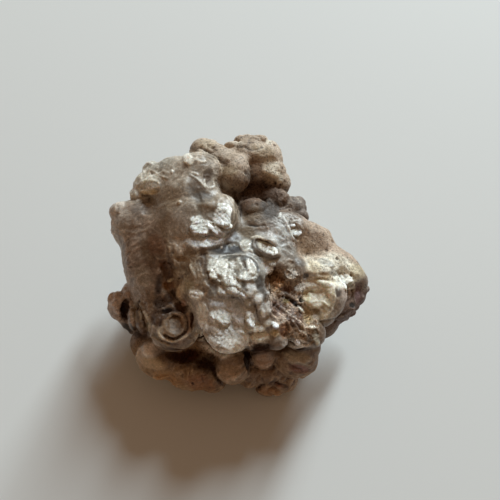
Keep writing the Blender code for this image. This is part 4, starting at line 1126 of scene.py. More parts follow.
# Marks inside the crystal crusts, laid over them
FLECKS = (
    Blot("cap_patch", (217, 210.5), (2.6, 2), "#dbd4c6", 0.4, -20, 0),
    Blot("cap_split", (210.5, 223), (1.3, 6.5), "#b3ada2", 0.8, 40, -0.1),
    Blot("ring_core", (244.8, 264.5), (1.8, 4), "#6f6053", 0.9, 25, -0.25),
    Blot("ring_shade", (236.5, 273), (1.6, 6), "#8b867c", 0.75, 25, -0.1),
    Blot("ring_hole", (243, 284), (2, 3.6), "#635e56", 0.9, 30, -0.25),
    Blot("oval_fleck", (264, 247), (2.2, 0.9), "#9a8a72", 0.75, -30, -0.1),
    Blot("oval_fleck_low", (270.5, 250), (2.4, 0.8), "#8f7f66", 0.75, -30, -0.1),
    Blot("oval_fleck_end", (274, 252.5), (0.9, 1.1), "#9b8b72", 0.7, 0, -0.1),
    Blot("island_gap", (221, 277.5), (1.6, 2.4), "#a39e93", 0.7, -40, -0.1),
    Blot("island_brown", (212, 286), (5, 5), "#6b5d50", 0.75, 0, -0.1),
)

# All marks, in the order in which they are laid on
MARKS = (*BLOTS, *DRUSES, *FLECKS, *LINES)

# Where the stone is a little slimmer than its solid
DENTS = (
    Dent("right_low", (31, -14, 9), (9, 8, 10), soft=0.7, ragged=0, way=(-1.3, 1.5, 0.5)),
    Dent("right_tip", (37, -4, 12), (7, 8, 9), soft=0.7, ragged=0, way=(-0.5, 0.2, 0)),
    Dent("tan_right", (16, 30, 30), (5, 10, 10), soft=0.7, ragged=0, way=(-1.2, 0, 0)),
    Dent("wall_low", (-35, 4, 22), (6, 12, 9), soft=0.7, ragged=0, way=(0.9, 0, 0)),
)

# Knobs that small beads grow on
BEADED = (
    Spot("violet", (-31.5, -7.5, 16), (6, 6.5, 7)),
    Spot("low_front", (12, -24, 6), (12, 6, 7)),
)

# Where the skin is weathered and dull
DULL = (
    Spot("tan_knobs", (4, 27, 33), (18, 13, 12), (0, 0, 0), 0.1),
    Spot("slope", (25, 4, 27), (13, 7, 7), (0, 0, -18), 0.2),
    Spot("bumps", (9, 12, 32), (8.5, 6, 6), (0, 0, 0), 0.2),
    Spot("hollow", (6, 22, 28), (8, 7, 5)),
    Spot("edge_knobs", (17, 17, 26), (5, 5, 6)),
    Spot("crest", (27, -3, 27), (11, 5, 6), (0, 0, -8), 0.2),
    Spot("dark_knobs", (30.5, -7.5, 16.5), (9, 8, 7), (0, 0, 0), 0.2),
)

# Where clear and milky stone lies bare, with grey painted shade in its creases instead of brown
MILKY = (
    Spot("ground", (-2.5, -4, 34), (12.5, 21, 9), (0, 0, 8), 0.3, 0.2),
    Spot("tongue", (-1.5, -18.5, 31), (8, 7, 6), (0, 0, 0), 0.3, 0.2),
    Spot("veil", (12, 4, 34.5), (6, 9, 5), (0, 0, -10), 0.3, 0.2),
)

# Where rust-stained quartz lines the broken pocket
POCKET = (
    Spot("pocket", (12.5, -10.5, 30.5), (6.2, 9.5, 5), (0, 0, 20), 0.15, 0.3),
    Spot("pocket_low", (17, -18.5, 26.5), (4.8, 4.5, 5)),
)


# The stone's skin


class Skin:
    """The stone's surface while it is worked, with places and normals in mm."""

    def __init__(self, mesh: Mesh) -> None:
        """Reads the mesh's places, normals and edges.

        Args:
            mesh: the mesh, in metres.
        """
        self.mesh = mesh
        self.count = len(mesh.vertices)
        self.places = self.read("co") / MM
        self.normals = self.read("normal")
        ends = np.empty(len(mesh.edges) * 2, np.int64)
        mesh.edges.foreach_get("vertices", ends)
        self.ends = ends.reshape(-1, 2)
        self.neighbours = np.maximum(np.bincount(ends, minlength=self.count), 1)

    def read(self, name: str) -> Array:
        """Reads one vector of each vertex as an array."""
        flat = np.empty(self.count * 3, np.float32)
        self.mesh.vertices.foreach_get(name, flat)
        return flat.reshape(-1, 3).astype(np.float64)

    def smoothed(self, values: Array, times: int) -> Array:
        """Spreads values over neighbouring places.

        Args:
            values: one number, or one row, for each place.
            times: how often each is drawn to its neighbours' mean.

        Returns:
            The smoothed values.
        """
        columns = values.reshape(self.count, -1).copy()
        a, b = self.ends.T
        for _ in range(times):
            for i in range(columns.shape[1]):
                column = columns[:, i]
                total = np.bincount(a, column[b], self.count) + np.bincount(b, column[a], self.count)
                columns[:, i] = 0.5 * column + 0.5 * total / self.neighbours
        return columns.reshape(values.shape)

    def hollowness(self, times: int) -> Array:
        """How far each place lies below its smoothed surroundings, in mm: above 0 in a crease."""
        return ((self.smoothed(self.places, times) - self.places) * self.normals).sum(1)

    def move(self, places: Array) -> None:
        """Sets the places and reads the new normals."""
        self.places = places
        self.mesh.vertices.foreach_set("co", (places * MM).astype(np.float32).ravel())
        self.mesh.update()
        self.normals = self.read("normal")

    def lift(self, amount: Array) -> None:
        """Moves the skin out along its normals, in mm, less so near the flat base."""
        held = step(0.2, 2.5, self.places[:, 2])
        self.move(self.places + self.normals * (amount * held)[:, None])

    def keep_within(self, low: Vector, high: Vector) -> None:
        """Keeps the places inside a box, given by two corners in metres."""
        self.move(np.clip(self.places, np.array(low) / MM, np.array(high) / MM))


def settled(obj: Object) -> Mesh:
    """Turns an object's live modifiers into a plain mesh and drops the object.

    Args:
        obj: an object that isn't a piece yet.

    Returns:
        The mesh.
    """
    graph = bpy.context.evaluated_depsgraph_get()
    mesh = bpy.data.meshes.new_from_object(obj.evaluated_get(graph))
    bpy.data.objects.remove(obj, do_unlink=True)
    return mesh


def as_object(name: str, mesh: Mesh) -> Object:
    """Puts a mesh in the scene as an object at the origin."""
    obj = bpy.data.objects.new(name, mesh)
    bpy.context.scene.collection.objects.link(obj)
    return obj


def joined(name: str, *meshes: Mesh) -> Mesh:
    """Puts several meshes into one."""
    bm = bmesh.new()
    for mesh in meshes:
        bm.from_mesh(mesh)
    whole = bpy.data.meshes.new(name)
    bm.to_mesh(whole)
    bm.free()
    return whole


def set_field(mesh: Mesh, name: str, values: Array) -> None:
    """Stores one number, vector or colour for each vertex under a name."""
    width = 1 if values.ndim == 1 else values.shape[1]
    kind, key = {1: ("FLOAT", "value"), 3: ("FLOAT_VECTOR", "vector"), 4: ("FLOAT_COLOR", "color")}[width]
    held = mesh.attributes.get(name) or mesh.attributes.new(name, kind, "POINT")
    held.data.foreach_set(key, values.astype(np.float32).ravel())


# What grows on the stone: geometry node trees


class Socket(Enum):
    """The kinds of input that a growth tree takes."""

    NUMBER = "NodeSocketFloat"
    COUNT = "NodeSocketInt"
    STUFF = "NodeSocketMaterial"


@dataclass
class Growth:
    """A node tree that grows something on a mesh."""

    name: str
    tree: Tree = field(init=False)
    start: Node = field(init=False)

    def __post_init__(self) -> None:
        """Makes the empty tree with its mesh input and output."""
        self.tree = bpy.data.node_groups.new(self.name, "GeometryNodeTree")
        self.tree.interface.new_socket("Mesh", in_out="INPUT", socket_type="NodeSocketGeometry")
        self.tree.interface.new_socket("Mesh", in_out="OUTPUT", socket_type="NodeSocketGeometry")
        self.start = self.tree.nodes.new("NodeGroupInput")

    def take(self, kind: Socket, *names: str) -> None:
        """Adds named inputs of one kind."""
        for name in names:
            self.tree.interface.new_socket(name, in_out="INPUT", socket_type=kind.value)

    def scatter(self, wanted: str) -> tuple[Node, Node, Node]:
        """Spreads points over the mesh where a field of it is high, and sinks them into it.

        Args:
            wanted: the field's name.

        Returns:
            The nodes that give the points, their turn and their sizes.
        """
        self.take(Socket.NUMBER, "Spacing", "Density", "Smallest", "Largest", "Sink")
        self.take(Socket.COUNT, "Seed")
        self.take(Socket.STUFF, "Material")
        tree, inputs = self.tree, self.start.outputs
        share = put(tree, "GeometryNodeInputNamedAttribute", {"Name": wanted}, data_type="FLOAT")
        spread = put(tree, "GeometryNodeDistributePointsOnFaces", {
            "Mesh": inputs["Mesh"],
            "Distance Min": inputs["Spacing"],
            "Density Max": inputs["Density"],
            "Density Factor": share.outputs[0],
            "Seed": inputs["Seed"],
        }, distribute_method="POISSON")
        size = put(tree, "FunctionNodeRandomValue", {
            2: inputs["Smallest"],
            3: inputs["Largest"],
            "Seed": inputs["Seed"],
        }, data_type="FLOAT")
        depth = maths(tree, "MULTIPLY", size.outputs[1], inputs["Sink"])
        sunk = put(tree, "GeometryNodeSetPosition", {
            "Geometry": spread.outputs["Points"],
            "Offset": scaled(tree, spread.outputs["Normal"], maths(tree, "MULTIPLY", depth, -1.0)),
        })
        return sunk, spread, size

    def end(self, instances: Output) -> None:
        """Makes the instances real, gives them their material and ends the tree."""
        real = put(self.tree, "GeometryNodeRealizeInstances", {"Geometry": instances})
        dressed = put(self.tree, "GeometryNodeSetMaterial", {
            "Geometry": real.outputs[0],
            "Material": self.start.outputs["Material"],
        })
        put(self.tree, "NodeGroupOutput", {0: dressed.outputs[0]})

    def run(self, base: Mesh, values: dict[str, object]) -> Mesh:
        """Grows on a mesh.

        Args:
            base: the mesh to grow on.
            values: the tree's inputs by name.

        Returns:
            What grew, as a plain mesh.
        """
        obj = as_object(self.name, base)
        growth = obj.modifiers.new(self.name, "NODES")
        growth.node_group = self.tree
        for item in self.tree.interface.items_tree:
            if item.in_out == "INPUT" and item.name in values:
                growth[item.identifier] = values[item.name]
        return settled(obj)


def bubble_growth() -> Growth:
    """A ball on every point, turned and stretched by the point's own fields."""
    growth = Growth("named_bubbles")
    growth.take(Socket.COUNT, "Detail")
    growth.take(Socket.STUFF, "Material")
    tree, inputs = growth.tree, growth.start.outputs
    ball = put(tree, "GeometryNodeMeshIcoSphere", {"Radius": 1.0, "Subdivisions": inputs["Detail"]})
    half = put(tree, "GeometryNodeInputNamedAttribute", {"Name": "half"}, data_type="FLOAT_VECTOR")
    turn = put(tree, "GeometryNodeInputNamedAttribute", {"Name": "turn"}, data_type="FLOAT_VECTOR")
    turned = put(tree, "FunctionNodeEulerToRotation", {0: turn.outputs[0]})
    placed = put(tree, "GeometryNodeInstanceOnPoints", {
        "Points": inputs["Mesh"],
        "Instance": ball.outputs["Mesh"],
        "Rotation": turned.outputs[0],
        "Scale": half.outputs[0],
    })
    growth.end(placed.outputs[0])
    return growth


def bead_growth() -> Growth:
    """Small balls of mixed size, scattered where the surface's bead field is high and sunk into it."""
    growth = Growth("small_beads")
    points, _, size = growth.scatter("beads")
    ball = put(growth.tree, "GeometryNodeMeshIcoSphere", {"Radius": 1.0, "Subdivisions": 3})
    placed = put(growth.tree, "GeometryNodeInstanceOnPoints", {
        "Points": points.outputs[0],
        "Instance": ball.outputs["Mesh"],
        "Scale": size.outputs[1],
    })
    growth.end(placed.outputs[0])
    return growth


def crystal_growth() -> Growth:
    """Tiny six-sided points, tilted every way, where the surface's crystal field is high."""
    growth = Growth("tiny_crystals")
    points, spread, size = growth.scatter("crystals")
    growth.take(Socket.NUMBER, "Lean")
    tree, inputs = growth.tree, growth.start.outputs
    lean = put(tree, "FunctionNodeRandomValue", {
        0: (-1.0, -1.0, -3.0),
        1: (1.0, 1.0, 3.0),
        "Seed": inputs["Seed"],
    }, data_type="FLOAT_VECTOR")
    leaned = scaled(tree, lean.outputs[0], inputs["Lean"])
    tilt = put(tree, "FunctionNodeEulerToRotation", {0: leaned})
    turned = put(tree, "FunctionNodeRotateRotation", {
        "Rotation": spread.outputs["Rotation"],
        "Rotate By": tilt.outputs[0],
    }, rotation_space="LOCAL")
    point = put(tree, "GeometryNodeMeshCone", {
        "Vertices": 6,
        "Side Segments": 1,
        "Radius Top": 0.0,
        "Radius Bottom": 0.5,
        "Depth": 0.75,
    }, fill_type="TRIANGLE_FAN")
    placed = put(tree, "GeometryNodeInstanceOnPoints", {
        "Points": points.outputs[0],
        "Instance": point.outputs["Mesh"],
        "Rotation": turned.outputs[0],
        "Scale": size.outputs[1],
    })
    growth.end(placed.outputs[0])
    return growth


# Finishes


class Relief(Enum):
    """The finest relief of a surface, as the noise that shapes it."""

    GRAINY = "FBM"
    CURLED = "RIDGED_MULTIFRACTAL"


# The way that crystal faces lean when they turn up to the light
FACE_WAY = (0.1, 0.5, 1.0)

# How far red, green and blue light go into the stone beside each other
MILK_REACH = (1.0, 0.8, 0.65)

QUARTZ_IOR = 1.54
LEAST_ROUGHNESS = 0.04

# How much rougher than its clean surface the dullest place is
DULL_ROUGHNESS = 0.5


@dataclass(frozen=True)
class StoneFinish:
    """Chalcedony or quartz as one surface of the stone shows it.

    Args:
        name: the finish's real name.
        roughness: of the clean surface.
        unevenness: how far the roughness strays from place to place.
        milk: how much light goes into the stone.
        depth: how far it goes there, in mm.
        relief: the kind of its finest relief.
        grit: how high that is, in mm.
        grit_size: how wide it is, in mm.
        mottle: how much the colour strays from place to place.
        fibres: how much brighter its thin pale fibres are.
        hairs: how much darker its thin dark lines are.
        specks: how much darker its fine specks are.
        tilt: how far crystal faces lean from the surface.
        face: a crystal face's width in mm.
        rise: how far crystal faces lean up towards the light.
        gleam: the strength of its plain reflection, 0.5 for clean quartz.
    """

    name: str
    roughness: float
    unevenness: float
    milk: float
    depth: float
    relief: Relief
    grit: float
    grit_size: float
    mottle: float
    fibres: float = 0.0
    hairs: float = 0.0
    specks: float = 0.0
    tilt: float = 0.0
    face: float = 1.0
    rise: float = 0.0
    gleam: float = 0.5

    def threads(self, tree: Tree, spot: Output, apart: float, width: float) -> Output:
        """Adds thin curling lines, 1 on each line and 0 between them.

        Args:
            tree: the material's tree.
            spot: the place in mm.
            apart: how far apart the lines are, in mm.
            width: how wide they are, as a part of that.

        Returns:
            The output with the lines.
        """
        swirl = put(tree, "ShaderNodeTexNoise", {
            "Vector": spot,
            "Scale": 1 / apart,
            "Detail": 3.0,
            "Roughness": 0.55,
            "Distortion": 1.2,
        })
        off = maths(tree, "SUBTRACT", swirl.outputs[0], 0.5)
        line = put(tree, "ShaderNodeMapRange", {
            "Value": maths(tree, "ABSOLUTE", off),
            "From Min": 0.0,
            "From Max": width,
            "To Min": 1.0,
            "To Max": 0.0,
        }, interpolation_type="SMOOTHSTEP")
        return line.outputs[0]

    def shading(self, tree: Tree, spot: Output) -> Output:
        """Adds the fine lightness pattern.

        Args:
            tree: the material's tree.
            spot: the place in mm.

        Returns:
            The output with how much lighter or darker each place is than its tint.
        """
        cloud = put(tree, "ShaderNodeTexNoise", {
            "Vector": spot,
            "Scale": 1.3,
            "Detail": 5.0,
            "Roughness": 0.75,
        })
        total = put(tree, "ShaderNodeMapRange", {
            "Value": cloud.outputs[0],
            "From Min": 0.35,
            "From Max": 0.65,
            "To Min": 1 - self.mottle,
            "To Max": 1 + self.mottle,
        }).outputs[0]
        for apart, width, amount in (
            (2.6, 0.02, self.fibres),
            (1.1, 0.025, 0.7 * self.fibres),
            (1.6, 0.02, -self.hairs),
            (0.7, 0.03, -0.6 * self.hairs),
        ):
            if amount:
                lines = self.threads(tree, spot, apart, width)
                total = maths(tree, "MULTIPLY", total, maths(tree, "MULTIPLY_ADD", lines, amount, 1.0))
        if self.specks:
            dots = put(tree, "ShaderNodeTexNoise", {
                "Vector": spot,
                "Scale": 2.2,
                "Detail": 2.0,
                "Roughness": 0.5,
            })
            speck = put(tree, "ShaderNodeMapRange", {
                "Value": dots.outputs[0],
                "From Min": 0.54,
                "From Max": 0.66,
            })
            change = maths(tree, "MULTIPLY_ADD", speck.outputs[0], -self.specks, 1.0)
            total = maths(tree, "MULTIPLY", total, change)
        return total

    def build(self) -> bpy.types.Material:
        """Makes the material.

        Returns:
            The material, which reads its colour from the mesh's tint field.
        """
        material = bpy.data.materials.new(self.name)
        material.use_nodes = True
        tree = material.node_tree
        shader = tree.nodes["Principled BSDF"]
        tint = put(tree, "ShaderNodeAttribute", attribute_name="tint", attribute_type="GEOMETRY")
        where = put(tree, "ShaderNodeTexCoord")
        spot = put(tree, "ShaderNodeMapping", {
            "Vector": where.outputs["Object"],
            "Scale": (1 / MM, 1 / MM, 1 / MM),
        }).outputs[0]

        shade = self.shading(tree, spot)
        shaded = scaled(tree, tint.outputs["Color"], shade)
        tree.links.new(shaded, shader.inputs["Base Color"])

        film = put(tree, "ShaderNodeTexNoise", {"Vector": spot, "Scale": 0.6, "Detail": 4.0})
        rough = put(tree, "ShaderNodeMapRange", {
            "Value": film.outputs[0],
            "From Min": 0.35,
            "From Max": 0.65,
            "To Min": max(self.roughness - self.unevenness, LEAST_ROUGHNESS),
            "To Max": self.roughness + self.unevenness,
        })
        dull = maths(tree, "MULTIPLY_ADD", tint.outputs["Alpha"], -DULL_ROUGHNESS, DULL_ROUGHNESS)
        rougher = put(tree, "ShaderNodeMath", {0: rough.outputs[0], 1: dull}, operation="ADD", use_clamp=True)
        tree.links.new(rougher.outputs[0], shader.inputs["Roughness"])

        grain = put(tree, "ShaderNodeTexNoise", {
            "Vector": spot,
            "Scale": 1 / self.grit_size,
            "Detail": 4.0,
            "Roughness": 0.6,
        }, noise_type=self.relief.value)
        normal = put(tree, "ShaderNodeBump", {
            "Height": grain.outputs[0],
            "Distance": self.grit * MM,
            "Strength": 1.0,
        }).outputs[0]
        if self.tilt:
            cell = put(tree, "ShaderNodeTexVoronoi", {"Vector": spot, "Scale": 1 / self.face})
            way = vectors(tree, "SUBTRACT", cell.outputs["Color"], (0.5, 0.5, 0.5))
            leaned = vectors(tree, "ADD", normal, scaled(tree, way, self.tilt * 2))
            risen = vectors(tree, "ADD", leaned, tuple(self.rise * part for part in FACE_WAY))
            normal = vectors(tree, "NORMALIZE", risen)
        tree.links.new(normal, shader.inputs["Normal"])

        shader.inputs["IOR"].default_value = QUARTZ_IOR
        shader.inputs["Metallic"].default_value = 0.0
        shader.inputs["Specular IOR Level"].default_value = self.gleam
        shader.inputs["Subsurface Weight"].default_value = self.milk
        shader.inputs["Subsurface Radius"].default_value = MILK_REACH
        shader.inputs["Subsurface Scale"].default_value = self.depth * MM
        return material


# Translucent chalcedony, naturally smooth: waxy, with pale fibres and light that goes in a little way
GLASSY = StoneFinish(
    "glassy_chalcedony", roughness=0.16, unevenness=0.06, milk=0.4, depth=2.2, relief=Relief.CURLED,
    grit=0.08, grit_size=1.1, mottle=0.24, fibres=0.5, hairs=0.32, specks=0.15)

# Weathered chalcedony rind: dull, sandy, specked and nearly opaque
RIND = StoneFinish(
    "weathered_rind", roughness=0.4, unevenness=0.1, milk=0.06, depth=0.6, relief=Relief.GRAINY,
    grit=0.2, grit_size=0.5, mottle=0.22, fibres=0.2, hairs=0.12, specks=0.6)

# Crust of tiny quartz points: white, each face turned its own way, with grey lines between them
DRUSY = StoneFinish(
    "drusy_quartz", roughness=0.32, unevenness=0.1, milk=0.35, depth=1.8, relief=Relief.GRAINY,
    grit=0.05, grit_size=0.5, mottle=0.12, hairs=0.6, specks=0.1, tilt=0.35, face=0.6, rise=1.0)

# Iron-stained quartz in the pocket: dark, glinting faces with rust and pale fibres between them
RUSTY = StoneFinish(
    "rust_stained_quartz", roughness=0.25, unevenness=0.1, milk=0.1, depth=0.6, relief=Relief.GRAINY,
    grit=0.12, grit_size=0.5, mottle=0.45, fibres=1.5, hairs=0.6, tilt=0.3, face=0.8, rise=0.25)

# The bubbles at the foot: waxy chalcedony, smoother and more even than the rest
WAXY = StoneFinish(
    "waxy_chalcedony", roughness=0.3, unevenness=0.08, milk=0.35, depth=1.4, relief=Relief.GRAINY,
    grit=0.08, grit_size=0.7, mottle=0.2, fibres=0.35, hairs=0.4, specks=0.15)

# Matt finish for creases and recesses painted dark as shade, and for dark marks: little reflection, so that
# they stay dark whichever way they face
CLAY = StoneFinish(
    "matt_shaded_recess", roughness=0.6, unevenness=0.1, milk=0.0, depth=0.3, relief=Relief.GRAINY,
    grit=0.3, grit_size=0.6, mottle=0.4, hairs=0.3, specks=0.5, gleam=0.12)

# Single quartz points of the crust: clear faces with sharp glints
POINTS = StoneFinish(
    "quartz_points", roughness=0.12, unevenness=0.04, milk=0.2, depth=0.6, relief=Relief.GRAINY,
    grit=0.01, grit_size=0.4, mottle=0.06, tilt=0.1, face=0.3, rise=1.0)


class Surface(Enum):
    """Which finish a face of the skin has, in the order of the material slots."""

    GLASSY = 0
    RIND = 1
    DRUSY = 2
    RUSTY = 3
    CLAY = 4
    WAXY = 5


# The stone


class Paint:
    """The skin's colours while they are laid on."""

    SHINE = 0.4
    DARKEST = 0.006
    PALEST = 0.95
    LIGHTNESS = (0.21, 0.72, 0.07)

    def __init__(self, count: int, ground: str) -> None:
        """Starts with one colour on every place."""
        self.tint = np.tile(np.array(paint(ground)[:3]), (count, 1))
        self.shine = np.full(count, self.SHINE)

    def wash(self, colour: str, amount: Array, index: Array | None = None) -> None:
        """Mixes a colour in.

        Args:
            colour: the colour.
            amount: how strongly it covers, from 0 to 1, for each place.
            index: the numbers of those places, or all of them if it is left out.
        """
        where = slice(None) if index is None else index
        share = np.clip(amount, 0, 1)[:, None]
        self.tint[where] = self.tint[where] * (1 - share) + np.array(paint(colour)[:3]) * share

    def brighten(self, change: Array) -> None:
        """Makes each place lighter, or darker below 0, by a share of its own colour."""
        self.tint *= (1 + change)[:, None]

    def polish(self, shine: float, amount: Array, index: Array) -> None:
        """Draws the shine of places towards a value."""
        self.shine[index] += (shine - self.shine[index]) * np.clip(amount, 0, 1)

    def field(self, richness: float) -> Array:
        """The colours, kept to what a stone can reflect, with the shine as their alpha.

        Args:
            richness: above 1 it makes the colours that much richer.

        Returns:
            One row of four for each place.
        """
        grey = (self.tint @ np.array(self.LIGHTNESS))[:, None]
        rich = np.clip(grey + (self.tint - grey) * richness, self.DARKEST, self.PALEST)
        return np.concatenate((rich, self.shine[:, None]), 1)


@dataclass(frozen=True)
class Swell:
    """Uneven variation over the whole stone.

    Args:
        amount: how far it goes up and down.
        length: how far apart its swells are, in mm.
        seed: picks the pattern.
        layers: how many layers it has, each finer than the last.
    """

    amount: float
    length: float
    seed: int
    layers: int = 3

    def at(self, points: Array) -> Array:
        """Its value at each place."""
        return self.amount * rough_waves(points, self.length, self.seed, self.layers)


@dataclass(frozen=True)
class Stain:
    """A colour that covers a growth in blotches.

    Args:
        colour: the colour.
        strength: how strongly it covers.
        border: the variation at which it starts, and that at which it is full.
        length: how far apart the blotches are, in mm.
        seed: picks the pattern.
        layers: how many layers that has, each finer than the last.
    """

    colour: str
    strength: float
    border: Pair
    length: float
    seed: int
    layers: int = 3

    def lay(self, coat: Paint, points: Array, zone: Array) -> None:
        """Lays it on a growth, whose zone says how much each place belongs to it."""
        blotches = rough_waves(points, self.length, self.seed, self.layers)
        coat.wash(self.colour, zone * self.strength * step(*self.border, blotches))


# Relief over the whole stone, in mm, and the sand of the rind
SWELLS = (Swell(0.26, 7.0, 3), Swell(0.09, 2.2, 5))
SAND = Swell(0.16, 1.8, 99)

# How the lightness strays: under the marks, and over them
SHADES_UNDER = (Swell(0.14, 5.5, 137), Swell(0.1, 1.5, 139))
SHADE_OVER = Swell(0.1, 0.9, 141, 2)

OUTER_STAIN = Stain("#6a533c", 0.5, (0.1, 0.7), 6.0, 119)
RIND_STAINS = (
    Stain("#d3c7b2", 0.35, (0.3, 0.6), 1.3, 121, 2),
    Stain("#6b5846", 0.45, (0.25, 0.6), 1.6, 123),
)
POCKET_STAINS = (
    Stain("#a5683a", 0.35, (0.2, 0.6), 2.6, 127),
    Stain("#2b170b", 0.75, (0.2, 0.5), 2.0, 131),
)

GROUND = "#86776a"
PIT_DIRT = "#4f3d2f"
# Painted shade with brown dirt in it, for sharp creases and for broad hollows
CREASE_DIRT_AND_SHADE = "#2f1b0e"
HOLLOW_DIRT_AND_SHADE = "#3a2312"
# Painted grey shade for the wrinkle valleys of the crystal crusts
CRYSTAL_VALLEY_SHADE = "#8a8478"
# Painted grey shade for the creases of bare milky stone
MILKY_CREASE_SHADE = "#7c7d7f"


@dataclass
class FoldCover:
    """Where one folded region's crests and valleys lie, and how strongly, from 0 to 1, for its painted
    highlight and shade.
    """

    region: Folded
    index: Array
    crest: Array
    valley_shade: Array


class Zones:
    """How much each place belongs to each growth, from 0 to 1.

    The relief adds where the pits and cracks are, and the paint adds the matt recesses that are painted dark
    as shade.
    """

    pit: Array
    crack: Array
    shaded_recess: Array

    def __init__(self, p: Array) -> None:
        """Reads the zones before any relief moves the skin. Each step runs from one place in mm to another.

        Args:
            p: the places in mm.
        """
        depth, height = p[:, 1], p[:, 2]
        self.front = step(-19, -23, depth) * step(23, 19, height)
        behind = step(12, 24, depth) * step(32, 26, height)
        self.outer = np.clip(behind + step(22, 15, height), 0, 1) * (1 - self.front)
        self.dull = covered(p, DULL)
        self.pocket = covered(p, POCKET)
        self.milky = covered(p, MILKY)
        self.druse = np.zeros(len(p))
        self.hollow = np.zeros(len(p))
        self.folds: list[FoldCover] = []


@dataclass
class Stone:
    """The whole specimen's skin: its sizes, its relief and its colours. Sizes are in mm.

    Args:
        first_voxel: the first skin's mesh size.
        skin_voxel: the finished skin's mesh size.
        facet_smoothing: how often the solid's facets are smoothed.
        most_faces: how many triangles the finished skin may have.
        keep_seen: how much rather it keeps those that the photograph sees.
        seed: picks the scattered beads and crystals.
        crystal_sizes: the smallest and the largest crystal point.
        crease_depth: how much deeper the creases are cut, as a part of their depth.
        crease_range: the lowest crest and the deepest crease that this counts.
        step_way: the way that levelled marks face.
        step_range: how far they may move from the eye and towards it.
        mark_range: how far the marks may move the skin in and out.
        pebble_height: how high the pebbles of the rind stand.
        pit_depth: how deep its pits are.
        crack_depth: how deep its cracks are.
        richness: above 1 it makes the colours that much richer.
        recess_shine: places whose shine is below this take the matt finish of creases and recesses painted
            dark as shade.
    """

    first_voxel: float = 0.5
    skin_voxel: float = 0.3
    facet_smoothing: int = 9
    most_faces: int = 197000
    keep_seen: float = 3.0
    seed: int = 4
    crystal_sizes: Pair = (0.2, 0.5)
    crease_depth: float = 0.8
    crease_range: Pair = (-0.4, 0.7)
    step_way: Triple = (0.05, 0.15, 1.0)
    step_range: Pair = (-1.5, 2.3)
    mark_range: Pair = (-1.3, 1.0)
    pebble_height: float = 0.17
    pit_depth: float = 0.35
    crack_depth: float = 0.12
    richness: float = 1.08
    recess_shine: float = 0.12
    zones: Zones = field(init=False)

    def rounded_solid(self, node: Object) -> Mesh:
        """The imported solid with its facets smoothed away.

        Args:
            node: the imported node.

        Returns:
            A closed mesh.
        """
        bm = bmesh.new()
        bm.from_mesh(node.data)
        bmesh.ops.remove_doubles(bm, verts=bm.verts[:], dist=0.001 * MM)
        mesh = bpy.data.meshes.new("rounded_solid")
        bm.to_mesh(mesh)
        bm.free()
        return self.reskinned(mesh, self.first_voxel, self.facet_smoothing)

    def reskinned(self, mesh: Mesh, voxel: float, smoothing: int) -> Mesh:
        """One closed, even skin over a mesh.

        Args:
            mesh: the mesh, whose parts may overlap.
            voxel: the skin's mesh size in mm.
            smoothing: how often it is smoothed.

        Returns:
            The skin.
        """
        obj = as_object("skinned", mesh)
        skin = obj.modifiers.new("skin", "REMESH")
        skin.mode = "VOXEL"
        skin.voxel_size = voxel * MM
        soft = obj.modifiers.new("soft", "SMOOTH")
        soft.factor = 0.5
        soft.iterations = smoothing
        return settled(obj)

    def named_bubbles(self) -> Mesh:
        """The larger bubbles, each where the photograph shows it."""
        points = bpy.data.meshes.new("bubble_points")
        points.from_pydata([tuple(c * MM for c in b.at) for b in BUBBLES], [], [])
        set_field(points, "half", np.array([b.half for b in BUBBLES]) * MM)
        set_field(points, "turn", np.radians([b.turn for b in BUBBLES]))
        return bubble_growth().run(points, {"Detail": 5})

    def beads(self, base: Mesh) -> Mesh:
        """Small botryoids on the knobs, the sides and the back.

        Args:
            base: the rounded solid.

        Returns:
            The beads.
        """
        p = Skin(base).places
        depth, height = p[:, 1], p[:, 2]
        back = step(10, 20, depth) * step(31, 24, height)
        sides = step(-16, -8, depth) * step(20, 14, height)
        wanted = np.maximum(covered(p, BEADED), np.maximum(back, sides) * 0.6)
        set_field(base, "beads", wanted * step(1.5, 3.5, height))
        return bead_growth().run(base.copy(), {
            "Spacing": 1.9 * MM,
            "Density": 0.16 / (MM * MM),
            "Smallest": 0.8 * MM,
            "Largest": 1.9 * MM,
            "Sink": 0.45,
            "Seed": self.seed,
        })

    def grow_skin(self, node: Object) -> Skin:
        """Grows one closed skin over the solid, the bubbles and the beads."""
        base = self.rounded_solid(node)
        whole = joined("grown", base, self.named_bubbles(), self.beads(base))
        mesh = self.reskinned(whole, self.skin_voxel, 2)
        mesh.name = "stone"
        return Skin(mesh)

    def look_at(self, skin: Skin) -> Look:
        """Works out what the photograph sees of the fresh skin."""
        p = skin.places
        pixels, _ = SIGHT.pixels(p)
        push = [waves(p, length=3.0, seed=seed) for seed in (201, 203)]
        pixels += 0.8 * np.stack(push, 1)
        rough = rough_waves(p, length=2.4, seed=5)
        patchy = np.clip(0.55 + 0.45 * waves(p, length=2.0, seed=9), 0, 1)
        return Look(pixels, skin.smoothed(SIGHT.seen(p), 3), rough, patchy)

    def level_marks(self, skin: Skin, look: Look) -> None:
        """Turns the skin of some marks up to the light, in steps that keep their places in the photograph.

        Args:
            skin: the fresh skin.
            look: the photograph's view of it.
        """
        back = SIGHT.axes()[2]
        up = np.array(self.step_way)
        places = skin.places.copy()
        for mark in (*BLOTS, *DRUSES):
            if not mark.level:
                continue
            index, far = mark.border(look)
            cover = mark.inside(far) * look.seen[index]
            middle = cover @ places[index] / max(cover.sum(), 1e-6)
            rise = np.clip((middle - places[index]) @ up / (back @ up), *self.step_range)
            places[index] += (mark.level * cover * rise)[:, None] * back
        skin.move(places)

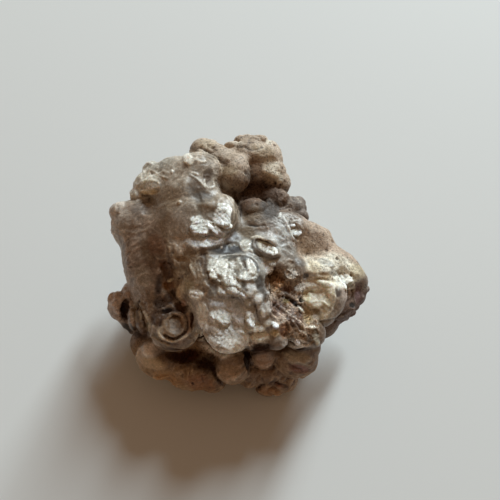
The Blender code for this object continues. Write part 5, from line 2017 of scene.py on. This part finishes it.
    def fold_relief(self, p: Array) -> Array:
        """Folds and shells of each folded region, in mm; keeps their crests and valleys for the colours."""
        lift = np.zeros(len(p))
        for region in FOLDS:
            mask = region.mask(p)
            index = np.flatnonzero(mask > 0.01)
            height, crest, valley_shade = region.shape(p[index])
            cover = mask[index]
            lift[index] += cover * height
            self.zones.folds.append(FoldCover(region, index, cover * crest, cover * valley_shade))
        return lift

    def crystal_relief(self, p: Array, look: Look) -> Array:
        """Wrinkles and small faces of the crystal crusts, in mm; keeps where they are."""
        z = self.zones
        lift = np.zeros(len(p))
        for druse in DRUSES:
            index, cover, _ = druse.stamp(look)
            here = p[index]
            q = SIGHT.squeezed(here, druse.run, squeeze=0.45)
            q = stirred(q, length=1.6, amount=0.6, seed=231)
            line = np.abs(waves(q, length=1.25, seed=233))
            large = grains(q, size=1.2, seed=237).facets()
            small = grains(here, size=0.6, seed=239).facets()
            fresh = np.clip(cover - z.druse[index], 0, 1)
            lift[index] += fresh * (0.3 * np.minimum(line * 2.2, 1) + 0.3 * (large + 0.5 * small) - 0.05)
            z.druse[index] = np.maximum(z.druse[index], cover)
            # The wrinkle valleys: fewer crystals grow there, and the paint greys them as shade
            z.hollow[index] = np.maximum(z.hollow[index], cover * step(0.16, 0.03, line))
        for fleck in FLECKS:
            index, cover, _ = fleck.stamp(look)
            z.druse[index] *= 1 - cover
        return lift

    def pocket_relief(self, p: Array) -> Array:
        """Crags of the rusty pocket, in mm."""
        q = stirred(SIGHT.squeezed(p, run=-45, squeeze=0.6), length=3.0, amount=0.8, seed=91)
        crags = grains(q, size=2.0, seed=93).facets() * 0.6
        return self.zones.pocket * (crags + 0.35 * grains(p, size=0.9, seed=95).facets() - 0.2)

    def rind_relief(self, p: Array) -> Array:
        """Pebbles, pits and fine cracks of the weathered rind, in mm; keeps the pits and cracks."""
        z = self.zones
        pebbles = 0.5 - np.minimum(grains(p, size=1.25, seed=97).near, 1) ** 2
        pit = grains(p, size=2.4, seed=103)
        z.pit = step(0.32, 0.12, pit.near) * (pit.kin[:, 0] > 0.45) * z.dull
        seam = np.abs(waves(stirred(p, length=4, amount=1.6, seed=113), length=4.6, seed=117))
        z.crack = step(0.03, 0.01, seam) * np.maximum(z.dull, z.outer)
        rind = np.clip(z.dull + 0.5 * z.outer, 0, 1)
        fine = self.pebble_height * pebbles + SAND.at(p)
        return rind * fine - self.pit_depth * z.pit - self.crack_depth * z.crack

    def work_relief(self, skin: Skin, p: Array, look: Look) -> None:
        """Gives the skin its folds, ledges, pits and crystal faces.

        Args:
            skin: the fresh skin.
            p: its places before any relief.
            look: the photograph's view of it.
        """
        z = self.zones
        skin.lift(-self.crease_depth * np.clip(skin.hollowness(7), *self.crease_range))
        for dent in DENTS:
            skin.move(skin.places + dent.mask(p)[:, None] * np.array(dent.way))
        self.level_marks(skin, look)
        crystals = self.crystal_relief(p, look)
        bare = 1 - z.druse
        skin.lift(sum(swell.at(p) for swell in SWELLS))
        skin.lift(bare * (1 - 0.7 * z.pocket) * self.fold_relief(p))
        skin.lift(crystals + bare * (self.rind_relief(p) + self.pocket_relief(p)))
        marks = np.zeros(skin.count)
        for mark in MARKS:
            index, _, lift = mark.stamp(look)
            marks[index] += lift
        skin.lift(np.clip(marks, *self.mark_range))

    def paint_growths(self, coat: Paint, p: Array) -> None:
        """Lays on each growth's colour, the painted highlight on the folds' crests and painted shade in their
        valleys, and the stains.

        Args:
            coat: the colours.
            p: the places before the relief.
        """
        z = self.zones
        for spot in TINTS:
            coat.wash(spot.colour, spot.mask(p) * spot.strength)
        OUTER_STAIN.lay(coat, p, z.outer)
        for fold in z.folds:
            # Painted shade in the fold valleys, then painted highlight on their crests
            coat.wash(fold.region.valley_shade, fold.valley_shade * fold.region.show * 0.8, fold.index)
            coat.wash(fold.region.crest, fold.crest * fold.region.show, fold.index)
        for stain in RIND_STAINS:
            stain.lay(coat, p, z.dull)
        coat.wash(PIT_DIRT, 0.6 * z.pit + 0.25 * z.crack)
        for stain in POCKET_STAINS:
            stain.lay(coat, p, z.pocket)
        coat.brighten(sum(swell.at(p) for swell in SHADES_UNDER))

    def paint_marks(self, coat: Paint, look: Look) -> None:
        """Lays on the marks that the photographed side shows, many of them painted shade, highlights and
        glints.

        Args:
            coat: the colours.
            look: the photograph's view of the fresh skin.
        """
        for mark in MARKS:
            index, cover, _ = mark.stamp(look)
            coat.wash(mark.colour, cover, index)
            if mark.shine >= 0:
                coat.polish(mark.shine, cover, index)

    def paint_crease_shade_and_crest_light(self, coat: Paint, skin: Skin, p: Array) -> None:
        """Paints shade and brown dirt into the creases and hollows, dulls the creases, and paints highlights
        on the crests.

        Args:
            coat: the colours.
            skin: the worked skin.
            p: the places before the relief.
        """
        z = self.zones
        sharp = skin.hollowness(8)
        broad = skin.hollowness(80)
        # Painted grey shade in the creases of bare milky stone
        coat.wash(MILKY_CREASE_SHADE, 0.35 * z.milky * (1 - z.druse) * step(0.04, 0.3, sharp))
        # Painted shade with brown dirt in sharp creases and broad hollows, stronger lower down, weaker on
        # crystal crusts and milky stone
        plain = (1 - 0.85 * z.druse) * (1 - 0.75 * z.milky * (1 - z.pocket))
        low = step(24, 18, p[:, 2])
        coat.wash(CREASE_DIRT_AND_SHADE, (0.4 + 0.3 * low) * plain * step(0.04, 0.26, sharp))
        coat.wash(HOLLOW_DIRT_AND_SHADE, (0.3 + 0.35 * low) * plain * step(0.2, 1.0, broad))
        # Painted highlight: sharp crests are made lighter
        coat.brighten(0.25 * step(-0.02, -0.2, sharp))
        coat.shine *= 1 - 0.9 * step(0.03, 0.2, sharp)

    def paint_skin(self, skin: Skin, p: Array, look: Look) -> None:
        """Tints the skin, and finds the creases and recesses that take the matt finish for their painted
        shade.

        Args:
            skin: the worked skin.
            p: the places before the relief, where the zones were read.
            look: the photograph's view of it.
        """
        z = self.zones
        coat = Paint(skin.count, GROUND)
        self.paint_growths(coat, p)
        self.paint_marks(coat, look)
        # Painted grey shade in the wrinkle valleys of the crystal crusts
        coat.wash(CRYSTAL_VALLEY_SHADE, 0.6 * z.hollow * z.druse)
        coat.brighten(SHADE_OVER.at(p))
        self.paint_crease_shade_and_crest_light(coat, skin, p)
        z.shaded_recess = (coat.shine < self.recess_shine) & (z.druse < 0.5)
        set_field(skin.mesh, "tint", coat.field(self.richness))

    def choose_surfaces(self, skin: Skin) -> None:
        """Gives each face of the skin its finish."""
        z = self.zones
        kind = np.full(skin.count, Surface.GLASSY.value)
        for zone, surface in (
            (np.maximum(z.dull, 0.9 * z.outer), Surface.RIND),
            (z.front, Surface.WAXY),
            (z.pocket, Surface.RUSTY),
            (z.druse, Surface.DRUSY),
            (z.shaded_recess, Surface.CLAY),
        ):
            kind[zone > 0.5] = surface.value
        mesh = skin.mesh
        corners = np.empty(len(mesh.loops), np.int64)
        mesh.loops.foreach_get("vertex_index", corners)
        starts = np.empty(len(mesh.polygons), np.int64)
        mesh.polygons.foreach_get("loop_start", starts)
        mesh.polygons.foreach_set("material_index", kind[corners[starts]].astype(np.int32))

    def thinned(self, mesh: Mesh, seen: Array) -> Mesh:
        """Merges faces until the mesh is light enough, most of them where the photograph sees none.

        Args:
            mesh: the finished skin's mesh.
            seen: 1 where the photograph sees the place, falling to 0.

        Returns:
            The lighter mesh.
        """
        obj = as_object("thinned", mesh)
        plain = obj.vertex_groups.new(name="plain")
        for level in (1, 2, 3, 4):
            plain.add(np.flatnonzero(np.ceil((1 - seen) * 4) == level).tolist(), level / 4, "REPLACE")
        thin = obj.modifiers.new("thin", "DECIMATE")
        thin.vertex_group = plain.name
        thin.vertex_group_factor = self.keep_seen
        thin.ratio = min(1.0, self.most_faces / (2 * len(mesh.polygons)))
        return settled(obj)

    def crystals(self, skin: Skin) -> Mesh:
        """Grows single crystal points on the crusts.

        Args:
            skin: the finished skin.

        Returns:
            The crystals.
        """
        base = skin.mesh.copy()
        thickly = step(0.45, 0.8, self.zones.druse) * (1 - 0.7 * self.zones.hollow)
        set_field(base, "crystals", thickly)
        smallest, largest = self.crystal_sizes
        return crystal_growth().run(base, {
            "Spacing": 0.45 * MM,
            "Density": 4 / (MM * MM),
            "Smallest": smallest * MM,
            "Largest": largest * MM,
            "Sink": 0.3,
            "Seed": self.seed,
            "Lean": 0.55,
            "Material": POINTS.build(),
        })

    def finished(self, name: str, mesh: Mesh) -> Object:
        """Makes a mesh a piece of the stone.

        Args:
            name: the piece's name.
            mesh: its mesh, dressed.

        Returns:
            The piece.
        """
        piece = as_object(name, mesh)
        log.info("%s: %d vertices, %d faces", name, len(mesh.vertices), len(mesh.polygons))
        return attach(piece, BODY)

    def build(self, node: Object, low: Vector, high: Vector) -> None:
        """Builds and dresses the stone.

        Args:
            node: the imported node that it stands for.
            low: the solid's lowest corner, in metres.
            high: its highest corner.
        """
        skin = self.grow_skin(node)
        before = skin.places.copy()
        look = self.look_at(skin)
        self.zones = Zones(before)
        self.work_relief(skin, before, look)
        skin.keep_within(low, high)
        self.paint_skin(skin, before, look)
        skin.mesh.materials.clear()
        for finish in (GLASSY, RIND, DRUSY, RUSTY, CLAY, WAXY):
            skin.mesh.materials.append(finish.build())
        self.choose_surfaces(skin)
        crystals = Skin(self.crystals(skin))
        crystals.keep_within(low, high)
        mesh = self.thinned(skin.mesh, look.seen)
        mesh.shade_smooth()
        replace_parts(self.finished("stone", mesh), NODE)
        self.finished("quartz_points", crystals.mesh)


# The stage


@dataclass(frozen=True)
class Studio:
    """A pale floor, one tall soft light, the sky and the camera, with sizes in mm."""

    floor_size: float = 3000
    floor_colour: str = "#dfe1e0"
    light_size: Pair = (240, 1300)
    light_way: Triple = (0.35, 0.8, 0.46)
    light_distance: float = 1700
    light_power: float = 45.0
    light_colour: str = "#e9f7fc"
    sky: str = "#ffd3ac"
    sky_strength: float = 0.21
    backdrop: str = "#c3c5c3"
    sensor: float = 36

    def lay_floor(self) -> None:
        """Lays the floor under the stone."""
        half = self.floor_size * MM / 2
        mesh = bpy.data.meshes.new("floor")
        corners = [(-half, -half, 0), (half, -half, 0), (half, half, 0), (-half, half, 0)]
        mesh.from_pydata(corners, [], [(0, 1, 2, 3)])
        material = bpy.data.materials.new("pale_matt_paint")
        material.use_nodes = True
        surface = material.node_tree.nodes["Principled BSDF"]
        surface.inputs["Base Color"].default_value = paint(self.floor_colour)
        surface.inputs["Roughness"].default_value = 0.7
        surface.inputs["Specular IOR Level"].default_value = 0.2
        mesh.materials.append(material)
        as_object("floor", mesh)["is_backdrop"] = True

    def light(self) -> None:
        """Hangs the tall light and sets the warm sky that fills the shadows, with a pale backdrop."""
        soft = bpy.data.lights.new("tall_light", "AREA")
        soft.shape = "RECTANGLE"
        soft.size, soft.size_y = (s * MM for s in self.light_size)
        soft.energy = self.light_power
        soft.color = paint(self.light_colour)[:3]
        lamp = as_object("tall_light", soft)
        towards = Vector(self.light_way).normalized()
        lamp.location = towards * self.light_distance * MM
        lamp.rotation_mode = "QUATERNION"
        lamp.rotation_quaternion = towards.to_track_quat("Z", "Y")
        world = bpy.data.worlds.new("sky")
        world.use_nodes = True
        tree = world.node_tree
        paths = put(tree, "ShaderNodeLightPath", {})
        seen = put(tree, "ShaderNodeMix", {
            0: paths.outputs["Is Camera Ray"],
            6: [v * self.sky_strength for v in paint(self.sky)[:3]] + [1.0],
            7: paint(self.backdrop),
        }, data_type="RGBA")
        tree.links.new(seen.outputs[2], tree.nodes["Background"].inputs["Color"])
        bpy.context.scene.world = world

    def set_camera(self) -> None:
        """Sets the camera where the photograph was taken from."""
        camera = bpy.data.cameras.new("camera")
        eye = as_object("camera", camera)
        back = Vector(SIGHT.axes()[2])
        eye.location = (Vector(SIGHT.target) + back * SIGHT.distance) * MM
        eye.rotation_mode = "QUATERNION"
        eye.rotation_quaternion = (-back).to_track_quat("-Z", "Y")
        camera.sensor_width = self.sensor
        camera.lens = self.sensor / 2 * SIGHT.distance / (SIGHT.middle * SIGHT.pixel)
        camera.clip_start = 10 * MM
        bpy.context.scene.camera = eye

    def build(self) -> None:
        """Sets the whole stage."""
        self.lay_floor()
        self.light()
        self.set_camera()
        bpy.context.scene.view_settings.view_transform = "Standard"
        log.info("stage: floor, light and camera")


def main() -> None:
    """Builds the stone and its stage."""
    logging.basicConfig(level=logging.INFO, format="%(name)s: %(message)s")
    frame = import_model()
    low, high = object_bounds()
    Studio().build()
    Stone().build(frame["nodes"][NODE], low, high)
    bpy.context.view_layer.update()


if __name__ == "__main__":
    main()
